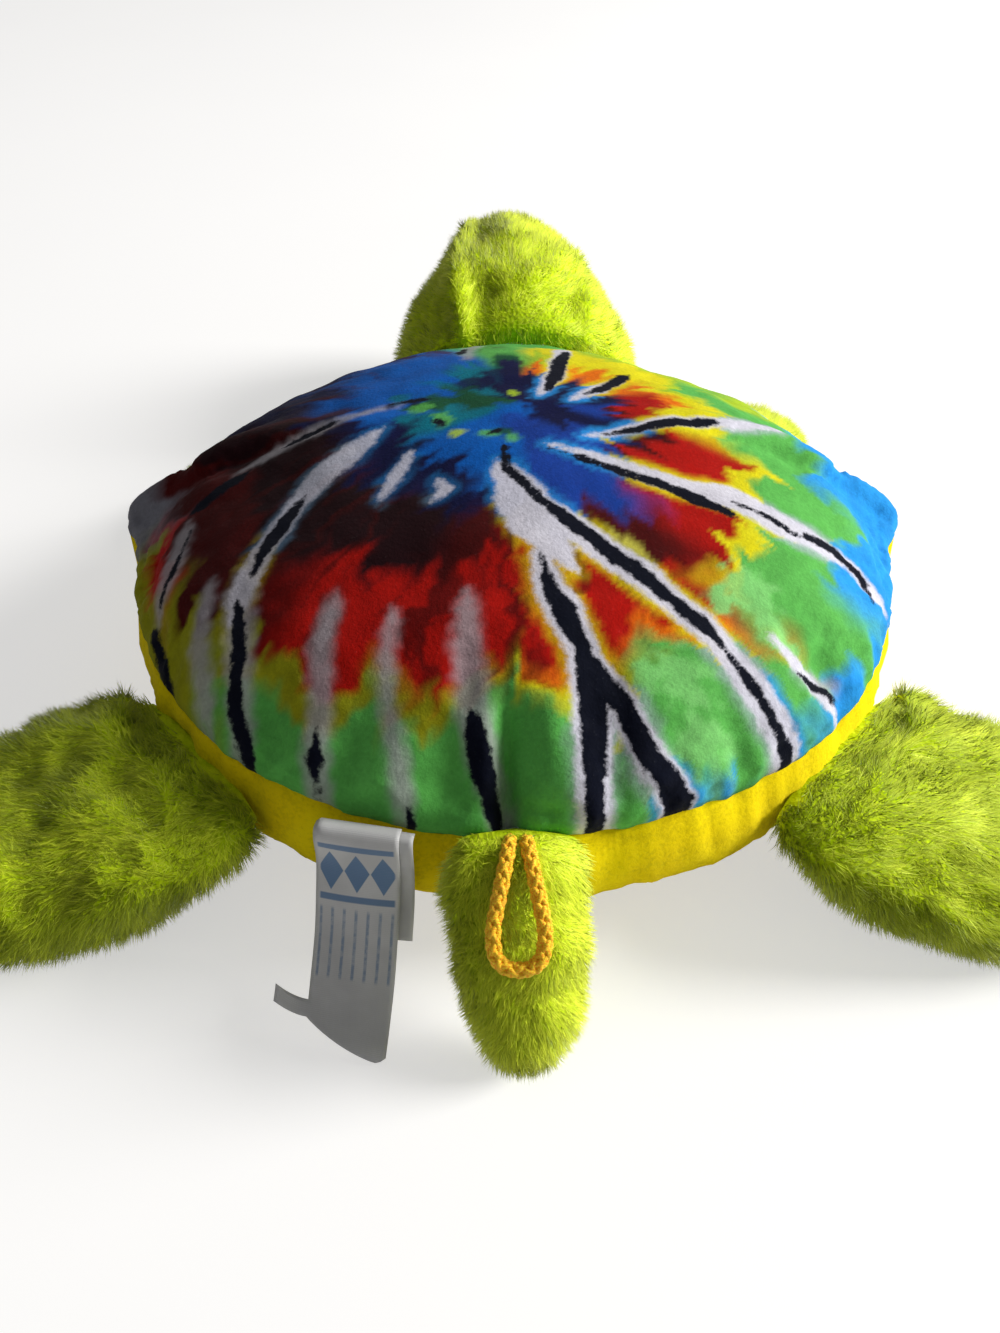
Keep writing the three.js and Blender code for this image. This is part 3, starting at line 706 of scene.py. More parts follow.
def printed_velour(settings):
    """The shell's tie-dye: its dyes, its undyed folds with frayed edges, and the ink along them."""
    made, tree, shader = material("Printed velour")
    fray = maths(tree, "SUBTRACT", grain(tree, 420.0, 3.0, rough=0.7), 0.5)
    soft = maths(tree, "SUBTRACT", grain(tree, 90.0, 2.0), 0.5)
    edge = maths(tree, "ADD", maths(tree, "MULTIPLY", fray, 2.8), maths(tree, "MULTIPLY", soft, 3.2))
    undyed, ink = (between(tree, maths(tree, "ADD", attribute(tree, name), edge), -width, width)
                   for name, width in (("undyed", 1.1), ("ink", 0.6)))
    # Painted shade: the undyed folds are made less pale towards the left, the side away from the lamp
    undyed = maths(tree, "MULTIPLY", undyed, attribute(tree, "bare"))
    pale = mix(tree, undyed, attribute(tree, "dye", "Color"), settings.undyed_color)
    finish_velour(tree, shader, mix(tree, ink, pale, settings.ink_color), 1.0, 0.7)
    return made


def yellow_velour(settings):
    """The belly's plain cloth."""
    made, tree, shader = material("Yellow velour")
    deep = tuple(c * f for c, f in zip(settings.color, (0.95, 0.92, 0.9)))
    tone = mix(tree, between(tree, grain(tree, 60.0, 3.0), 0.38, 0.62), deep, settings.color)
    finish_velour(tree, shader, tone, 1.7, 0.6)
    return made


def color_between(a, b, share):
    return tuple((1 - share) * low + share * high for low, high in zip(a, b))


def mapped(tree):
    """The piece's own map, and its two parts."""
    place = node(tree, "ShaderNodeUVMap", uv_map=PILE_MAP).outputs["UV"]
    parts = node(tree, "ShaderNodeSeparateXYZ", {"Vector": place}).outputs
    return place, parts["X"], parts["Y"]


def pile_strands(settings):
    """The tufts of the fur: darker at the root as painted shade deep in the pile, bright at the tip, each
    with its own tone.
    """
    made, tree, shader = material("Lime pile")
    _, along, tone = mapped(tree)
    middle = color_between(settings.root_shade_color, settings.tip_color, 0.55)
    low = mix(tree, between(tree, along, 0.0, 0.55), settings.root_shade_color, middle)
    color = mix(tree, between(tree, along, 0.4, 1.0), low, settings.tip_color)
    # The tone carries each cover's shift, which is painted light and shade, and random differences between
    # tufts
    shaded = mix(tree, between(tree, tone, 0.1, 0.9), (0.62, 0.64, 0.5), (1.12, 1.08, 1.3))
    toned = mix(tree, 1.0, color, shaded, "MULTIPLY")
    rough = between(tree, tone, 0.0, 1.0, 0.7, 0.55)
    finish_shader(tree, shader, toned, rough, Sheen_Weight=0.15, Specular_IOR_Level=0.25)
    return made


def fur_backing(settings):
    """The knitted cloth under the pile, as seen between its tufts, in the pile's darker root colour as
    painted shade.
    """
    made, tree, shader = material("Fur backing")
    tone = mix(tree, between(tree, grain(tree, 320.0, 3.0), 0.35, 0.65), settings.root_shade_color,
               color_between(settings.root_shade_color, settings.tip_color, 0.4))
    knit = node(tree, "ShaderNodeTexVoronoi", {"Scale": 700.0, "Vector": stretched(tree, (1, 1, 1))})
    finish_shader(tree, shader, tone, 0.9, knit.outputs["Distance"], 0.6, 0.0006, Specular_IOR_Level=0.1)
    return made


def braided_yarn(settings):
    """The cord's yarns: a painted highlight colour and a painted shade colour, mixed by a fibre noise along
    the cord's map, with fine threads.
    """
    made, tree, shader = material("Braided yarn")
    place = node(tree, "ShaderNodeUVMap", uv_map=PILE_MAP).outputs["UV"]
    fibres = grain(tree, 30.0, 3.0, place)
    tone = mix(tree, between(tree, fibres, 0.34, 0.62), settings.yarn_shade_color, settings.yarn_highlight_color)
    worn = mix(tree, between(tree, grain(tree, 260.0), 0.5, 0.7, 0.0, 0.3), tone, (0.95, 0.55, 0.05))
    finish_shader(tree, shader, worn, 0.66, fibres, 0.5, 0.0002, Sheen_Weight=0.05, Specular_IOR_Level=0.25)
    return made


RIBBON_SHARE = 0.62  # how much of the ribbon's map its width takes, beside its tongue
RIBBON_MIDDLE = 0.55
# On the banded label's map: its bands, its row of diamonds and its stripes, by their heights
BAND_HEIGHTS, BAND_HALF = (0.868, 0.625), 0.011
DIAMOND_HEIGHT = 0.746
STRIPES_LOW, STRIPES_HIGH = 0.31, 0.57


def woven_label(name, settings, banded):
    """Satin ribbon with fine cross threads, and a plain woven border of bands and diamonds."""
    made, tree, shader = material(name)
    place, along_x, up = mapped(tree)
    threads, warp = (
        node(tree, "ShaderNodeTexWave", {"Vector": place, "Scale": scale, "Distortion": bent, "Detail": 1.0},
             bands_direction=way).outputs["Fac"]
        for scale, bent, way in ((42.0, 0.6, "Y"), (30.0, 0.4, "X")))
    satin = mix(tree, between(tree, grain(tree, 90.0, 3.0), 0.35, 0.7),
                tuple(c * 0.86 for c in settings.satin_color), settings.satin_color)
    color = mix(tree, maths(tree, "MULTIPLY", threads, 0.22), satin, (0.45, 0.45, 0.46))
    if banded:
        middle = maths(tree, "SUBTRACT", maths(tree, "DIVIDE", along_x, RIBBON_SHARE), RIBBON_MIDDLE)
        on_ribbon = between(tree, maths(tree, "ABSOLUTE", middle), 0.46, 0.43)

        def beside(height):
            return maths(tree, "ABSOLUTE", maths(tree, "SUBTRACT", up, height))

        bands = [(between(tree, beside(height), BAND_HALF + 0.006, BAND_HALF), 0.85)
                 for height in BAND_HEIGHTS]
        steps = maths(tree, "PINGPONG", maths(tree, "ADD", maths(tree, "MULTIPLY", middle, 3.2), 0.5), 0.5)
        diamonds = maths(tree, "SUBTRACT", maths(tree, "MULTIPLY", steps, 0.19), beside(DIAMOND_HEIGHT))
        stripes = maths(tree, "PINGPONG", maths(tree, "MULTIPLY", maths(tree, "ADD", middle, 0.5), 7.0), 0.5)
        striped = maths(tree, "MULTIPLY", between(tree, stripes, 0.33, 0.42),
                        between(tree, up, STRIPES_LOW - 0.02, STRIPES_LOW),
                        between(tree, up, STRIPES_HIGH + 0.02, STRIPES_HIGH))
        worn = between(tree, grain(tree, 700.0), 0.3, 0.6, 0.3, 0.6)
        for shape, strength in (*bands, (between(tree, diamonds, 0.0, 0.008), 0.9), (striped, worn)):
            cover = maths(tree, "MULTIPLY", shape, on_ribbon, strength)
            color = mix(tree, cover, color, settings.band_color)
    height = maths(tree, "ADD", threads, maths(tree, "MULTIPLY", warp, 0.5))
    finish_shader(tree, shader, color, between(tree, threads, 0.0, 1.0, 0.38, 0.55), height, 0.35, 0.00008,
                  Sheen_Weight=0.2, Specular_IOR_Level=0.5)
    return made


def eye_plastic(settings):
    """Black plastic with a clear, slightly scratched face."""
    made, tree, shader = material("Eye plastic")
    tone = mix(tree, between(tree, grain(tree, 300.0), 0.45, 0.7), settings.color, (0.012, 0.011, 0.013))
    rough = between(tree, grain(tree, 900.0, 4.0), 0.4, 0.75, 0.07, 0.16)
    finish_shader(tree, shader, tone, rough, grain(tree, 500.0), 0.04, 0.0001, Coat_Weight=0.6,
                  Coat_Roughness=0.06)
    return made


def washer_plastic():
    """Moulded plastic, which nobody polished."""
    made, tree, shader = material("Washer plastic")
    tone = mix(tree, between(tree, grain(tree, 240.0, 3.0), 0.4, 0.65), (0.7, 0.69, 0.66), (0.84, 0.84, 0.81))
    finish_shader(tree, shader, tone, between(tree, grain(tree, 500.0), 0.3, 0.7, 0.45, 0.62),
                  grain(tree, 1600.0, 3.0), 0.3, 0.0001)
    return made


def fibrefill():
    """Loose white fibre, in wisps."""
    made, tree, shader = material("Fibrefill")
    wisps = grain(tree, 1.0, 5.0, stretched(tree, (420, 420, 1400)), 0.7)
    tone = mix(tree, between(tree, wisps, 0.35, 0.62), (0.72, 0.72, 0.7), (0.93, 0.93, 0.92))
    finish_shader(tree, shader, tone, 0.95, wisps, 0.9, 0.0012, Sheen_Weight=0.3)
    return made


# ---------------------------------------------------------------- Stage

FLOOR_HALF_SIZE = 3
FLOOR_GLOW = 1.3  # how bright the white is that the floor is brought nearer to
LAMP_WAY, LAMP_DISTANCE, LAMP_SIZE = (0.86, 0.14, 0.45), 2.4, 0.9
LAMP_COLOR = (1, 0.985, 0.96)
CAMERA_PLACE = (-0.0041, -0.305, 0.239)
CAMERA_TILT = 50  # in degrees, up from straight down
SENSOR_WIDTH = 36


def lift_floor(tree, shader, share):
    """Brings the floor nearer to white where it is looked at, without more light on the toy."""
    path = node(tree, "ShaderNodeLightPath").outputs
    seen = maths(tree, "MAXIMUM", *(path[f"Is {kind} Ray"] for kind in ("Camera", "Glossy", "Transmission")))
    white = node(tree, "ShaderNodeEmission", {"Color": (1, 0.995, 0.99), "Strength": FLOOR_GLOW})
    both = node(tree, "ShaderNodeMixShader", {
        0: maths(tree, "MULTIPLY", seen, share), 1: shader.outputs[0], 2: white.outputs[0]})
    plug(tree, tree.nodes["Material Output"].inputs["Surface"], both.outputs[0])


class MakeStage(bpy.types.Operator):
    """Makes the floor, the light and the camera"""

    bl_idname = "turtle.make_stage"
    bl_label = "Make Stage"

    def execute(self, context):
        settings = context.scene.turtle_stage
        scene = context.scene
        bm = bmesh.new()
        bmesh.ops.create_grid(bm, x_segments=1, y_segments=1, size=FLOOR_HALF_SIZE)
        made, tree, shader = material("Floor")
        tone = mix(tree, between(tree, grain(tree, 6.0), 0.3, 0.7),
                   tuple(c * 0.985 for c in settings.floor_color), settings.floor_color)
        finish_shader(tree, shader, tone, 0.9, Specular_IOR_Level=0.1)
        lift_floor(tree, shader, settings.floor_lift)
        piece(bm, "floor", made, smooth=False)

        lamp = bpy.data.lights.new("Key lamp", "AREA")
        lamp.energy, lamp.size, lamp.color = settings.key_power, LAMP_SIZE, LAMP_COLOR
        key = placed("Key lamp", lamp)
        way = Vector(LAMP_WAY).normalized()
        key.location = way * LAMP_DISTANCE
        key.rotation_euler = way.to_track_quat("Z", "Y").to_euler()

        world = bpy.data.worlds.new("Studio")
        world.use_nodes = True
        tree = world.node_tree
        sky = tree.nodes["Background"].inputs
        plug(tree, sky["Color"], (1, 1, 1))
        seen = node(tree, "ShaderNodeLightPath").outputs["Is Camera Ray"]
        plug(tree, sky["Strength"], maths(tree, "MAXIMUM", seen, settings.sky_strength))
        scene.world = world
        scene.view_settings.view_transform = "Standard"

        data = bpy.data.cameras.new("Camera")
        data.lens, data.sensor_width, data.clip_start = settings.lens, SENSOR_WIDTH, 0.01
        scene.camera = placed("Camera", data)
        scene.camera.location = CAMERA_PLACE
        scene.camera.rotation_euler = (math.radians(CAMERA_TILT), 0, 0)
        return {"FINISHED"}


# ---------------------------------------------------------------- Cord

def spline_points(points, per_span):
    """A smooth line through points, with its knots spaced by the square root of their distance."""
    points = np.asarray(points, float)
    points = np.vstack([2 * points[0] - points[1], points, 2 * points[-1] - points[-2]])
    line = []
    for k in range(len(points) - 3):
        near = points[k:k + 4]
        times = np.cumsum([0, *np.linalg.norm(np.diff(near, axis=0), axis=1) ** 0.5])
        now = np.linspace(times[1], times[2], per_span, endpoint=False)[:, None]

        def meet(a, b, first, last):
            return ((times[last] - now) * a + (now - times[first]) * b) / (times[last] - times[first])

        pairs = [meet(near[n], near[n + 1], n, n + 1) for n in range(3)]
        threes = [meet(pairs[n], pairs[n + 1], n, n + 2) for n in range(2)]
        line.append(meet(*threes, 1, 2))
    return np.vstack([*line, points[-2]])


def reach_of(line):
    """How far along a line each of its points is."""
    return np.concatenate([[0], np.cumsum(np.linalg.norm(np.diff(line, axis=0), axis=1))])


def line_at(line, run):
    """Where a line is after a run along it."""
    reach = reach_of(line)
    return np.stack([np.interp(run, reach, column) for column in line.T], -1)


def carried_frames(line):
    """Two directions across a line, carried along it without twisting."""
    ahead = unit(np.gradient(line, axis=0))
    side = unit(np.cross(ahead[0], (0, 0, 1)))
    sides = []
    for way in ahead:
        side = side - way * (side @ way)
        side /= np.linalg.norm(side)
        sides.append(side)
    sides = np.array(sides)
    return sides, np.cross(ahead, sides)


YARNS = 8
# A yarn's distance from the cord's middle, how far it weaves in and out, its radius, and how much
# thicker than a yarn the core is
YARN_RING, YARN_WEAVE, YARN_RADIUS, CORE_SHARE = 0.98, 0.22, 0.7, 1.1
CORD_POINTS = 300
CORD_MAP_SIZE = 12  # so many millimetres of cord are one unit of its map


class MakeCord(bpy.types.Operator):
    """Braids the hanging loop"""

    bl_idname = "turtle.make_cord"
    bl_label = "Make Cord"

    def execute(self, context):
        settings = context.scene.turtle_cord
        other_half = [(-x, y, z) for x, y, z in reversed(LOOP_HALF)]
        route = spline_points([*LOOP_HALF, LOOP_BEND, *other_half], 12)
        length = reach_of(route)[-1]
        run = np.linspace(0, length, CORD_POINTS)
        line = line_at(route, run)
        side, up = carried_frames(line)
        size = settings.diameter / MM / (2 * (YARN_RING + YARN_WEAVE / 2 + YARN_RADIUS))
        data = bpy.data.curves.new("braid", "CURVE")
        data.dimensions, data.bevel_depth, data.bevel_resolution = "3D", YARN_RADIUS * size * MM, 1
        data.use_fill_caps = True
        rate = 2 * math.pi / (settings.pitch / MM)
        for k in range(YARNS):
            way = 1 if k % 2 else -1
            turn = way * rate * run + 2 * math.pi * (k // 2) / (YARNS / 2)
            ring = YARN_RING + way * YARN_WEAVE * np.cos(YARNS / 2 * rate * run)
            yarn = line + size * ring[:, None] * (side * np.cos(turn)[:, None] + up * np.sin(turn)[:, None])
            add_spline(data, yarn)
        add_spline(data, line, CORE_SHARE)
        obj = curve_to_mesh("hanging_loop", data, braided_yarn(settings))
        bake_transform(obj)
        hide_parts("hang_loop")
        return {"FINISHED"}


def add_spline(data, line, width=1.0):
    spline = data.splines.new("POLY")
    spline.points.add(len(line) - 1)
    spline.points.foreach_set("co", np.hstack([line * MM, np.ones((len(line), 1))]).ravel())
    spline.points.foreach_set("radius", np.full(len(line), width))


def map_faces(bm, place):
    """Gives the faces their map, from a place for each corner."""
    layer = bm.loops.layers.uv.new(PILE_MAP)
    for face in bm.faces:
        for loop in face.loops:
            loop[layer].uv = place(loop.vert.co)


def cord_map(corner):
    at = corner / (CORD_MAP_SIZE * MM)
    return at.x + at.z * 0.37, at.y + at.z * 0.61


def curve_to_mesh(name, data, material_made):
    """The mesh of a curve, with a map for its threads."""
    temporary = placed(name, data)
    bpy.context.view_layer.update()
    mesh = bpy.data.meshes.new_from_object(temporary.evaluated_get(bpy.context.evaluated_depsgraph_get()))
    bpy.data.objects.remove(temporary)
    bpy.data.curves.remove(data)
    mesh.name = name
    for layer in list(mesh.uv_layers):
        mesh.uv_layers.remove(layer)
    bm = bmesh.new()
    bm.from_mesh(mesh)
    bmesh.ops.recalc_face_normals(bm, faces=bm.faces)
    map_faces(bm, cord_map)
    bm.to_mesh(mesh)
    bm.free()
    mesh.shade_smooth()
    mesh.materials.clear()
    return link(name, mesh, material_made)


# ---------------------------------------------------------------- Labels

def fallen(fall, run):
    """How far out and down a ribbon is after a run along its fall, and the way that it goes there."""
    line = spline_points(fall, 16)
    return line_at(line, run), unit(line_at(line, run + 0.3) - line_at(line, run - 0.3)), reach_of(line)[-1]


RIBBON_CELL = 1.1
EDGE_BULGE, CORNER_CUT = 1.5, 1.8  # how far the long label's lower edge bulges, and its corner is cut off
TONGUE_STEPS = 7
BOW, BOW_START = 0.9, 14  # how far the ribbon's edges bend down, and the run until they do
WAVE, WAVE_RATE, WAVE_START = 0.35, 0.33, 0.8  # how the ribbon twists to and fro along its run
TONGUE_CURL = 0.055  # how fast the tongue curls up off the floor
TONGUE_LEAN, FALL_LEAN = 0.18, 0.055  # how far the tongue and the hanging ribbon go aside
LABEL_LOWEST = 0.45  # the lowest that a label lies above the floor


def ribbon(name, fall, width, shift, slant, tongue, settings, material_made):
    """A label that is cut flat, and then laid along its fall."""
    length = fallen(fall, np.zeros(1))[2]
    columns, rows = max(8, round(width / RIBBON_CELL)), max(12, round(length / RIBBON_CELL))
    bm = bmesh.new()
    bmesh.ops.create_grid(bm, x_segments=columns, y_segments=rows, size=0.5)
    for vert in bm.verts:
        across, share = vert.co.x, 0.5 - vert.co.y
        edge = length - slant * (across + 0.5)
        if tongue:
            edge += EDGE_BULGE * (1 - 4 * across * across)
            edge -= CORNER_CUT * (max(0, -across - 0.36) / 0.14) ** 2
        vert.co = (across * width, share * edge, 0)
    bm.edges.ensure_lookup_table()
    if tongue:
        low = length - slant
        side = [e for e in bm.edges if e.is_boundary
                and all(v.co.x > width / 2 - 0.01 and v.co.y > low - TONGUE_WIDTH - 0.6 for v in e.verts)]
        for _ in range(TONGUE_STEPS):
            made = bmesh.ops.extrude_edge_only(bm, edges=side)["geom"]
            fresh = [g for g in made if isinstance(g, bmesh.types.BMVert)]
            for vert in fresh:
                vert.co.x += TONGUE_LENGTH / TONGUE_STEPS
            side = [g for g in made
                    if isinstance(g, bmesh.types.BMEdge) and all(v in fresh for v in g.verts)]
    area = sum(face.calc_area() for face in bm.faces)
    map_faces(bm, lambda flat: ((flat.x / width + RIBBON_MIDDLE) * RIBBON_SHARE, 1 - flat.y / length))
    flat = np.array([v.co for v in bm.verts])
    where, ahead, _ = fallen(fall, flat[:, 1])
    out, down = where.T
    # The ribbon bows a little across its width, and the tongue curls up off the floor
    away = np.maximum(flat[:, 0] - width / 2, 0)
    bow = -BOW * (2 * flat[:, 0] / width) ** 2 * smoothstep(0, BOW_START, flat[:, 1]) * (away == 0)
    bow += WAVE * np.sin(flat[:, 1] * WAVE_RATE + WAVE_START) * (flat[:, 0] / width) - BOW * (away > 0)
    up = np.stack([-ahead[:, 1], ahead[:, 0]], -1)
    curl = TONGUE_CURL * away ** 2
    sideways = flat[:, 0] - TONGUE_LEAN * away - FALL_LEAN * out
    out, down = out + up[:, 0] * bow, down + up[:, 1] * bow + curl
    seam = seam_at(*LABEL_FRAME)
    points = seam.to_world(np.stack([sideways + shift, out + LABEL_SHIFT_OUT, down], -1))
    keep_above(points, LABEL_LOWEST)
    put(bm, points)
    obj = piece(bm, name, material_made)
    wall(obj, settings.thickness, 0)
    return obj, (width * MM, length * MM), area * MM * MM


class MakeLabels(bpy.types.Operator):
    """Makes the two labels that are sewn in at the rear"""

    bl_idname = "turtle.make_labels"
    bl_label = "Make Labels"

    def execute(self, context):
        settings = context.scene.turtle_labels
        width = settings.width / MM
        long_label = ribbon("long_label", LABEL_FALL, width, 0, LABEL_SLANT, True, settings,
                            woven_label("Banded satin", settings, True))
        short_label = ribbon("short_label_ply", SHORT_LABEL_FALL, SHORT_LABEL_WIDTH, SHORT_LABEL_SHIFT, 0,
                             False, settings, woven_label("Plain satin", settings, False))
        for (obj, flat, area), node_name in ((long_label, "care_label"), (short_label, "short_label")):
            min(area, flat[0] * flat[1])
            inside, outside = (seam_at(*LABEL_FRAME).to_world(np.array(end)) * MM for end in LABEL_BEND)
            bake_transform(obj)
            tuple(inside)
            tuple(outside)
            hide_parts(node_name)
        return {"FINISHED"}


# ---------------------------------------------------------------- Shell and belly

SHELL_CELLS, BELLY_CELLS = 230, 130
# How far the seam along the edge is drawn in, how high beside it, and how far in from it
SEAM_PINCH, PINCH_HEIGHT, PINCH_REACH = 1.6, 2.2, 30
HEM, HEM_DROP = 4, 0.3  # how far the cut edges are turned in, and apart
BELLY_LOWEST = 0.05


def disc_places(bm):
    """Shares of the radius and turns for a square grid that is pressed into a disc, finer at its edge."""
    x, y = np.array([v.co[:2] for v in bm.verts]).T
    u, v = x * np.sqrt(1 - y * y / 2), y * np.sqrt(1 - x * x / 2)
    share = np.clip(np.hypot(u, v), 0, 1)
    return np.clip(share + 0.12 * np.sin(math.pi * share), 0, 1), np.arctan2(v, u)


def puckers(turn, share, radius):
    """The gathers that a sewn edge leaves in the cloth, fading inwards."""
    flat = round_points(radius, turn, 0)
    inwards = (1 - share) * radius
    return (soft_noise(flat, 5.5, 3) * np.exp(-inwards / 7)
            + 0.6 * soft_noise(flat, 12, 4) * np.exp(-inwards / 16))


def cloth_disc(segments, height, facing, pucker, seed):
    """One half of the body's cover, from its middle to its turned-in edge."""
    bm = bmesh.new()
    bmesh.ops.create_grid(bm, x_segments=segments, y_segments=segments, size=1)
    share, turn = disc_places(bm)
    radius = rim_radius(turn)
    points = round_points(share * radius, turn, height(share, turn))
    put(bm, points)
    normals = normals_of(bm)
    normals *= np.sign(np.median(normals[:, 2])) * facing
    inwards = (1 - share) * radius
    swell = layered_noise(points, (1.1, 38, seed), (0.45, 15, seed + 1)) * smoothstep(0, 20, inwards)
    swell += pucker * puckers(turn, share, radius)
    points = points + normals * swell[:, None]
    nearness = np.exp(-np.abs(points[:, 2] - RIM_HEIGHT) / PINCH_HEIGHT)
    drawn = SEAM_PINCH * nearness * smoothstep(PINCH_REACH, 0, inwards)
    return bm, points - round_points(drawn, turn, 0)


def turn_in_edge(bm, drop):
    """Turns the cut edge in, as the seam's allowance."""
    edges = [e for e in bm.edges if e.is_boundary]
    made = bmesh.ops.extrude_edge_only(bm, edges=edges)["geom"]
    for vert in (g for g in made if isinstance(g, bmesh.types.BMVert)):
        flat = Vector((vert.co.x, vert.co.y, 0))
        vert.co -= flat.normalized() * HEM * MM
        vert.co.z += drop * MM
    bmesh.ops.recalc_face_normals(bm, faces=bm.faces)


DYE_REACH = 130  # where the tables of the folds end
RAY_SIZE, RAY_STRETCH = 26, 45  # the noise that runs outwards: its circle's radius, and its stretch
# The most that each of these covers the dyes under it
FRINGE_COVER, STREAK_COVER, FADED_COVER, SPOT_COVER = 0.8, 0.75, 0.74, 0.85


def dye(name):
    return np.array(linear(DYES[name]))


def dye_colors(points, undyed, faded):
    """The tie-dye print at points of the shell, in linear colours."""
    x, y = points[:, 0] - DYE_MIDDLE[0], points[:, 1] - DYE_MIDDLE[1]
    flat = points * (1, 1, 0)
    radius, turn = np.hypot(x, y), np.degrees(np.arctan2(y, x))
    turn = turn + layered_noise(flat, (3.2, 14, 11), (1.2, 4, 12)) * smoothstep(4, 20, radius)
    rays = round_points(RAY_SIZE, np.radians(turn), radius / RAY_STRETCH)
    flames = layered_noise(rays, (6, 3.8, 13), (5, 1.7, 16), (2, 0.8, 18))
    flames = flames + layered_noise(flat, (0.9, 4, 14), (0.5, 1.8, 15))
    reach = np.clip(radius + flames * smoothstep(0, 25, radius), 0, DYE_REACH)
    turn = (turn + 180) % 360 - 180
    folds = sorted(DYE_FOLDS)
    table = []
    for fold in folds:
        bands = [band.split() for band in DYE_FOLDS[fold].split(", ")]
        knots = [float(b[k]) for b in bands for k in (1, 2)]
        shades = np.array([dye(b[0]) for b in bands for _ in (1, 2)])
        table.append(np.stack([np.interp(reach, knots, shade) for shade in shades.T], -1))
    k = np.clip(np.searchsorted(folds, turn, side="right") - 1, 0, len(folds) - 2)
    low, high = np.array(folds)[k], np.array(folds)[k + 1]
    table, rows = np.array(table), np.arange(len(points))
    color = toward(table[k, rows], table[k + 1, rows], smoothstep(0.2, 0.8, (turn - low) / (high - low)))
    # Beside the undyed lines the dyes thin out, warm ones to yellow and cold ones to sky blue; the thinned
    # fringe is painted weaker towards the left, as painted shade on the side away from the lamp
    thin = toward(dye("sky"), dye("yellow"), smoothstep(-0.02, 0.08, color[:, 0] - color[:, 2]))
    lit = 0.35 + 0.65 * smoothstep(-40, 10, x + 0.3 * y)
    rough = undyed + 1.2 * soft_noise(rays, 1.2, 17) + 0.5 * soft_noise(flat, 2, 19)
    color = toward(color, thin, FRINGE_COVER * lit * smoothstep(-3.4, -0.2, rough))
    # Maroon runs outwards in streaks at the rear left, mixed darker than the maroon dye, in part as painted
    # shade on that side
    streak = smoothstep(0.05, 0.75, layered_noise(rays, (1, 1.5, 21), (0.5, 0.6, 22)))
    rear_left = smoothstep(25, -15, x + 0.25 * y) * smoothstep(45, 60, radius) * smoothstep(112, 98, radius)
    color = toward(color, 0.8 * dye("maroon"), STREAK_COVER * streak * rear_left)
    dim = smoothstep(-2.4, 1.6, faded + 0.8 * soft_noise(flat, 2.6, 20))
    color = toward(color, dye("faded"), FADED_COVER * dim)
    ragged = 0.45 * soft_noise(flat, 3.2, 23)
    for spot_x, spot_y, size, name in DYE_SPOTS:
        far = np.hypot(points[:, 0] - spot_x, points[:, 1] - spot_y) / size + ragged
        color = toward(color, dye(name), SPOT_COVER * smoothstep(1.25, 0.7, far))
    return color


POINT_LENGTH = 2.2  # how far a line's pointed end runs on, in half widths
LINE_FAR = 6.0  # lines that are farther than this don't count


def pointed_end(last, before):
    """The point that a line runs out to, past its last knot."""
    share = POINT_LENGTH * last[2] / math.dist(last[:2], before[:2])
    return *(last[:2] + (last[:2] - before[:2]) * share), 0


def line_depth(points, lines):
    """How deep each point lies in the nearest of some lines, below zero outside them."""
    best = np.full(len(points), -LINE_FAR)
    flat = points[:, :2]
    for line in lines:
        knots = np.array(line, float).reshape(-1, 3)
        knots = np.vstack([pointed_end(knots[0], knots[1]), knots, pointed_end(knots[-1], knots[-2])])
        for (ax, ay, aw), (bx, by, bw) in zip(knots[:-1], knots[1:]):
            a, d = np.array([ax, ay]), np.array([bx - ax, by - ay])
            t = np.clip((flat - a) @ d / (d @ d), 0, 1)
            far = np.hypot(*(flat - a - t[:, None] * d).T)
            best = np.maximum(best, aw + t * (bw - aw) - far)
    return best


# Folds that run in from the seam: x and y at the seam and at the inner end, half the width, and the
# share of the tuck's depth
SHELL_FOLDS = (
    (-2.5, -134, -2.5, -100, 2.3, 0.85), (-1, -134, -2, -102, 6, 0.5), (-20, -131, -9, -104, 8, 0.5),
    (-42, -126, -33, -100, 7, 0.3), (24, -130, 20, -108, 6, 0.22), (-66, -112, -56, -92, 6, 0.25),
    (52, -116, 46, -98, 6, 0.2), (80, -90, 72, -80, 5, 0.18), (-90, -84, -80, -72, 5, 0.2),
)
FOLD_PULL = 0.45  # how far a fold draws the cloth inwards for each millimetre that it sinks


def fold_in(points, depth):
    """Draws folds into the shell: the tuck that is sewn in at the rear, and the soft ones beside it."""
    drop = np.zeros(len(points))
    for ax, ay, bx, by, half, share in SHELL_FOLDS:
        way = np.array([bx - ax, by - ay])
        t = (points[:, :2] - (ax, ay)) @ way / (way @ way)
        beside = (points[:, 0] - ax) * way[1] - (points[:, 1] - ay) * way[0]
        beside /= np.linalg.norm(way)
        drop += depth * share * np.exp(-np.abs(beside / half) ** 1.5) * smoothstep(1, 0.25, t)
    closer = 1 - FOLD_PULL * drop / np.hypot(*points[:, :2].T).clip(1)
    return np.column_stack([points[:, :2] * closer[:, None], points[:, 2] - drop])


def closed_body(rings, steps, sides=0, top=0, bottom=0):
    """The body's closed skin, or one that lies inside it, with its places and shares of the radius."""
    bm = bmesh.new()
    bmesh.ops.create_uvsphere(bm, u_segments=steps, v_segments=rings, radius=1)
    polar, turn = sphere_places(bm)
    share = np.sin(polar * math.pi)
    height = np.where(polar <= 0.5, dome_height(share, turn) - top, belly_height(share) + bottom)
    return bm, round_points(share * (rim_radius(turn) - sides), turn, height), share


@functools.cache
def body_swell():
    """How the stuffing swells the body's cloth, between its seam and the floor."""
    bm, points, _ = closed_body(64, 96)
    put(bm, fold_in(points, 3))
    swell = stuffed(bm, held_body)
    bm.free()
    return swell


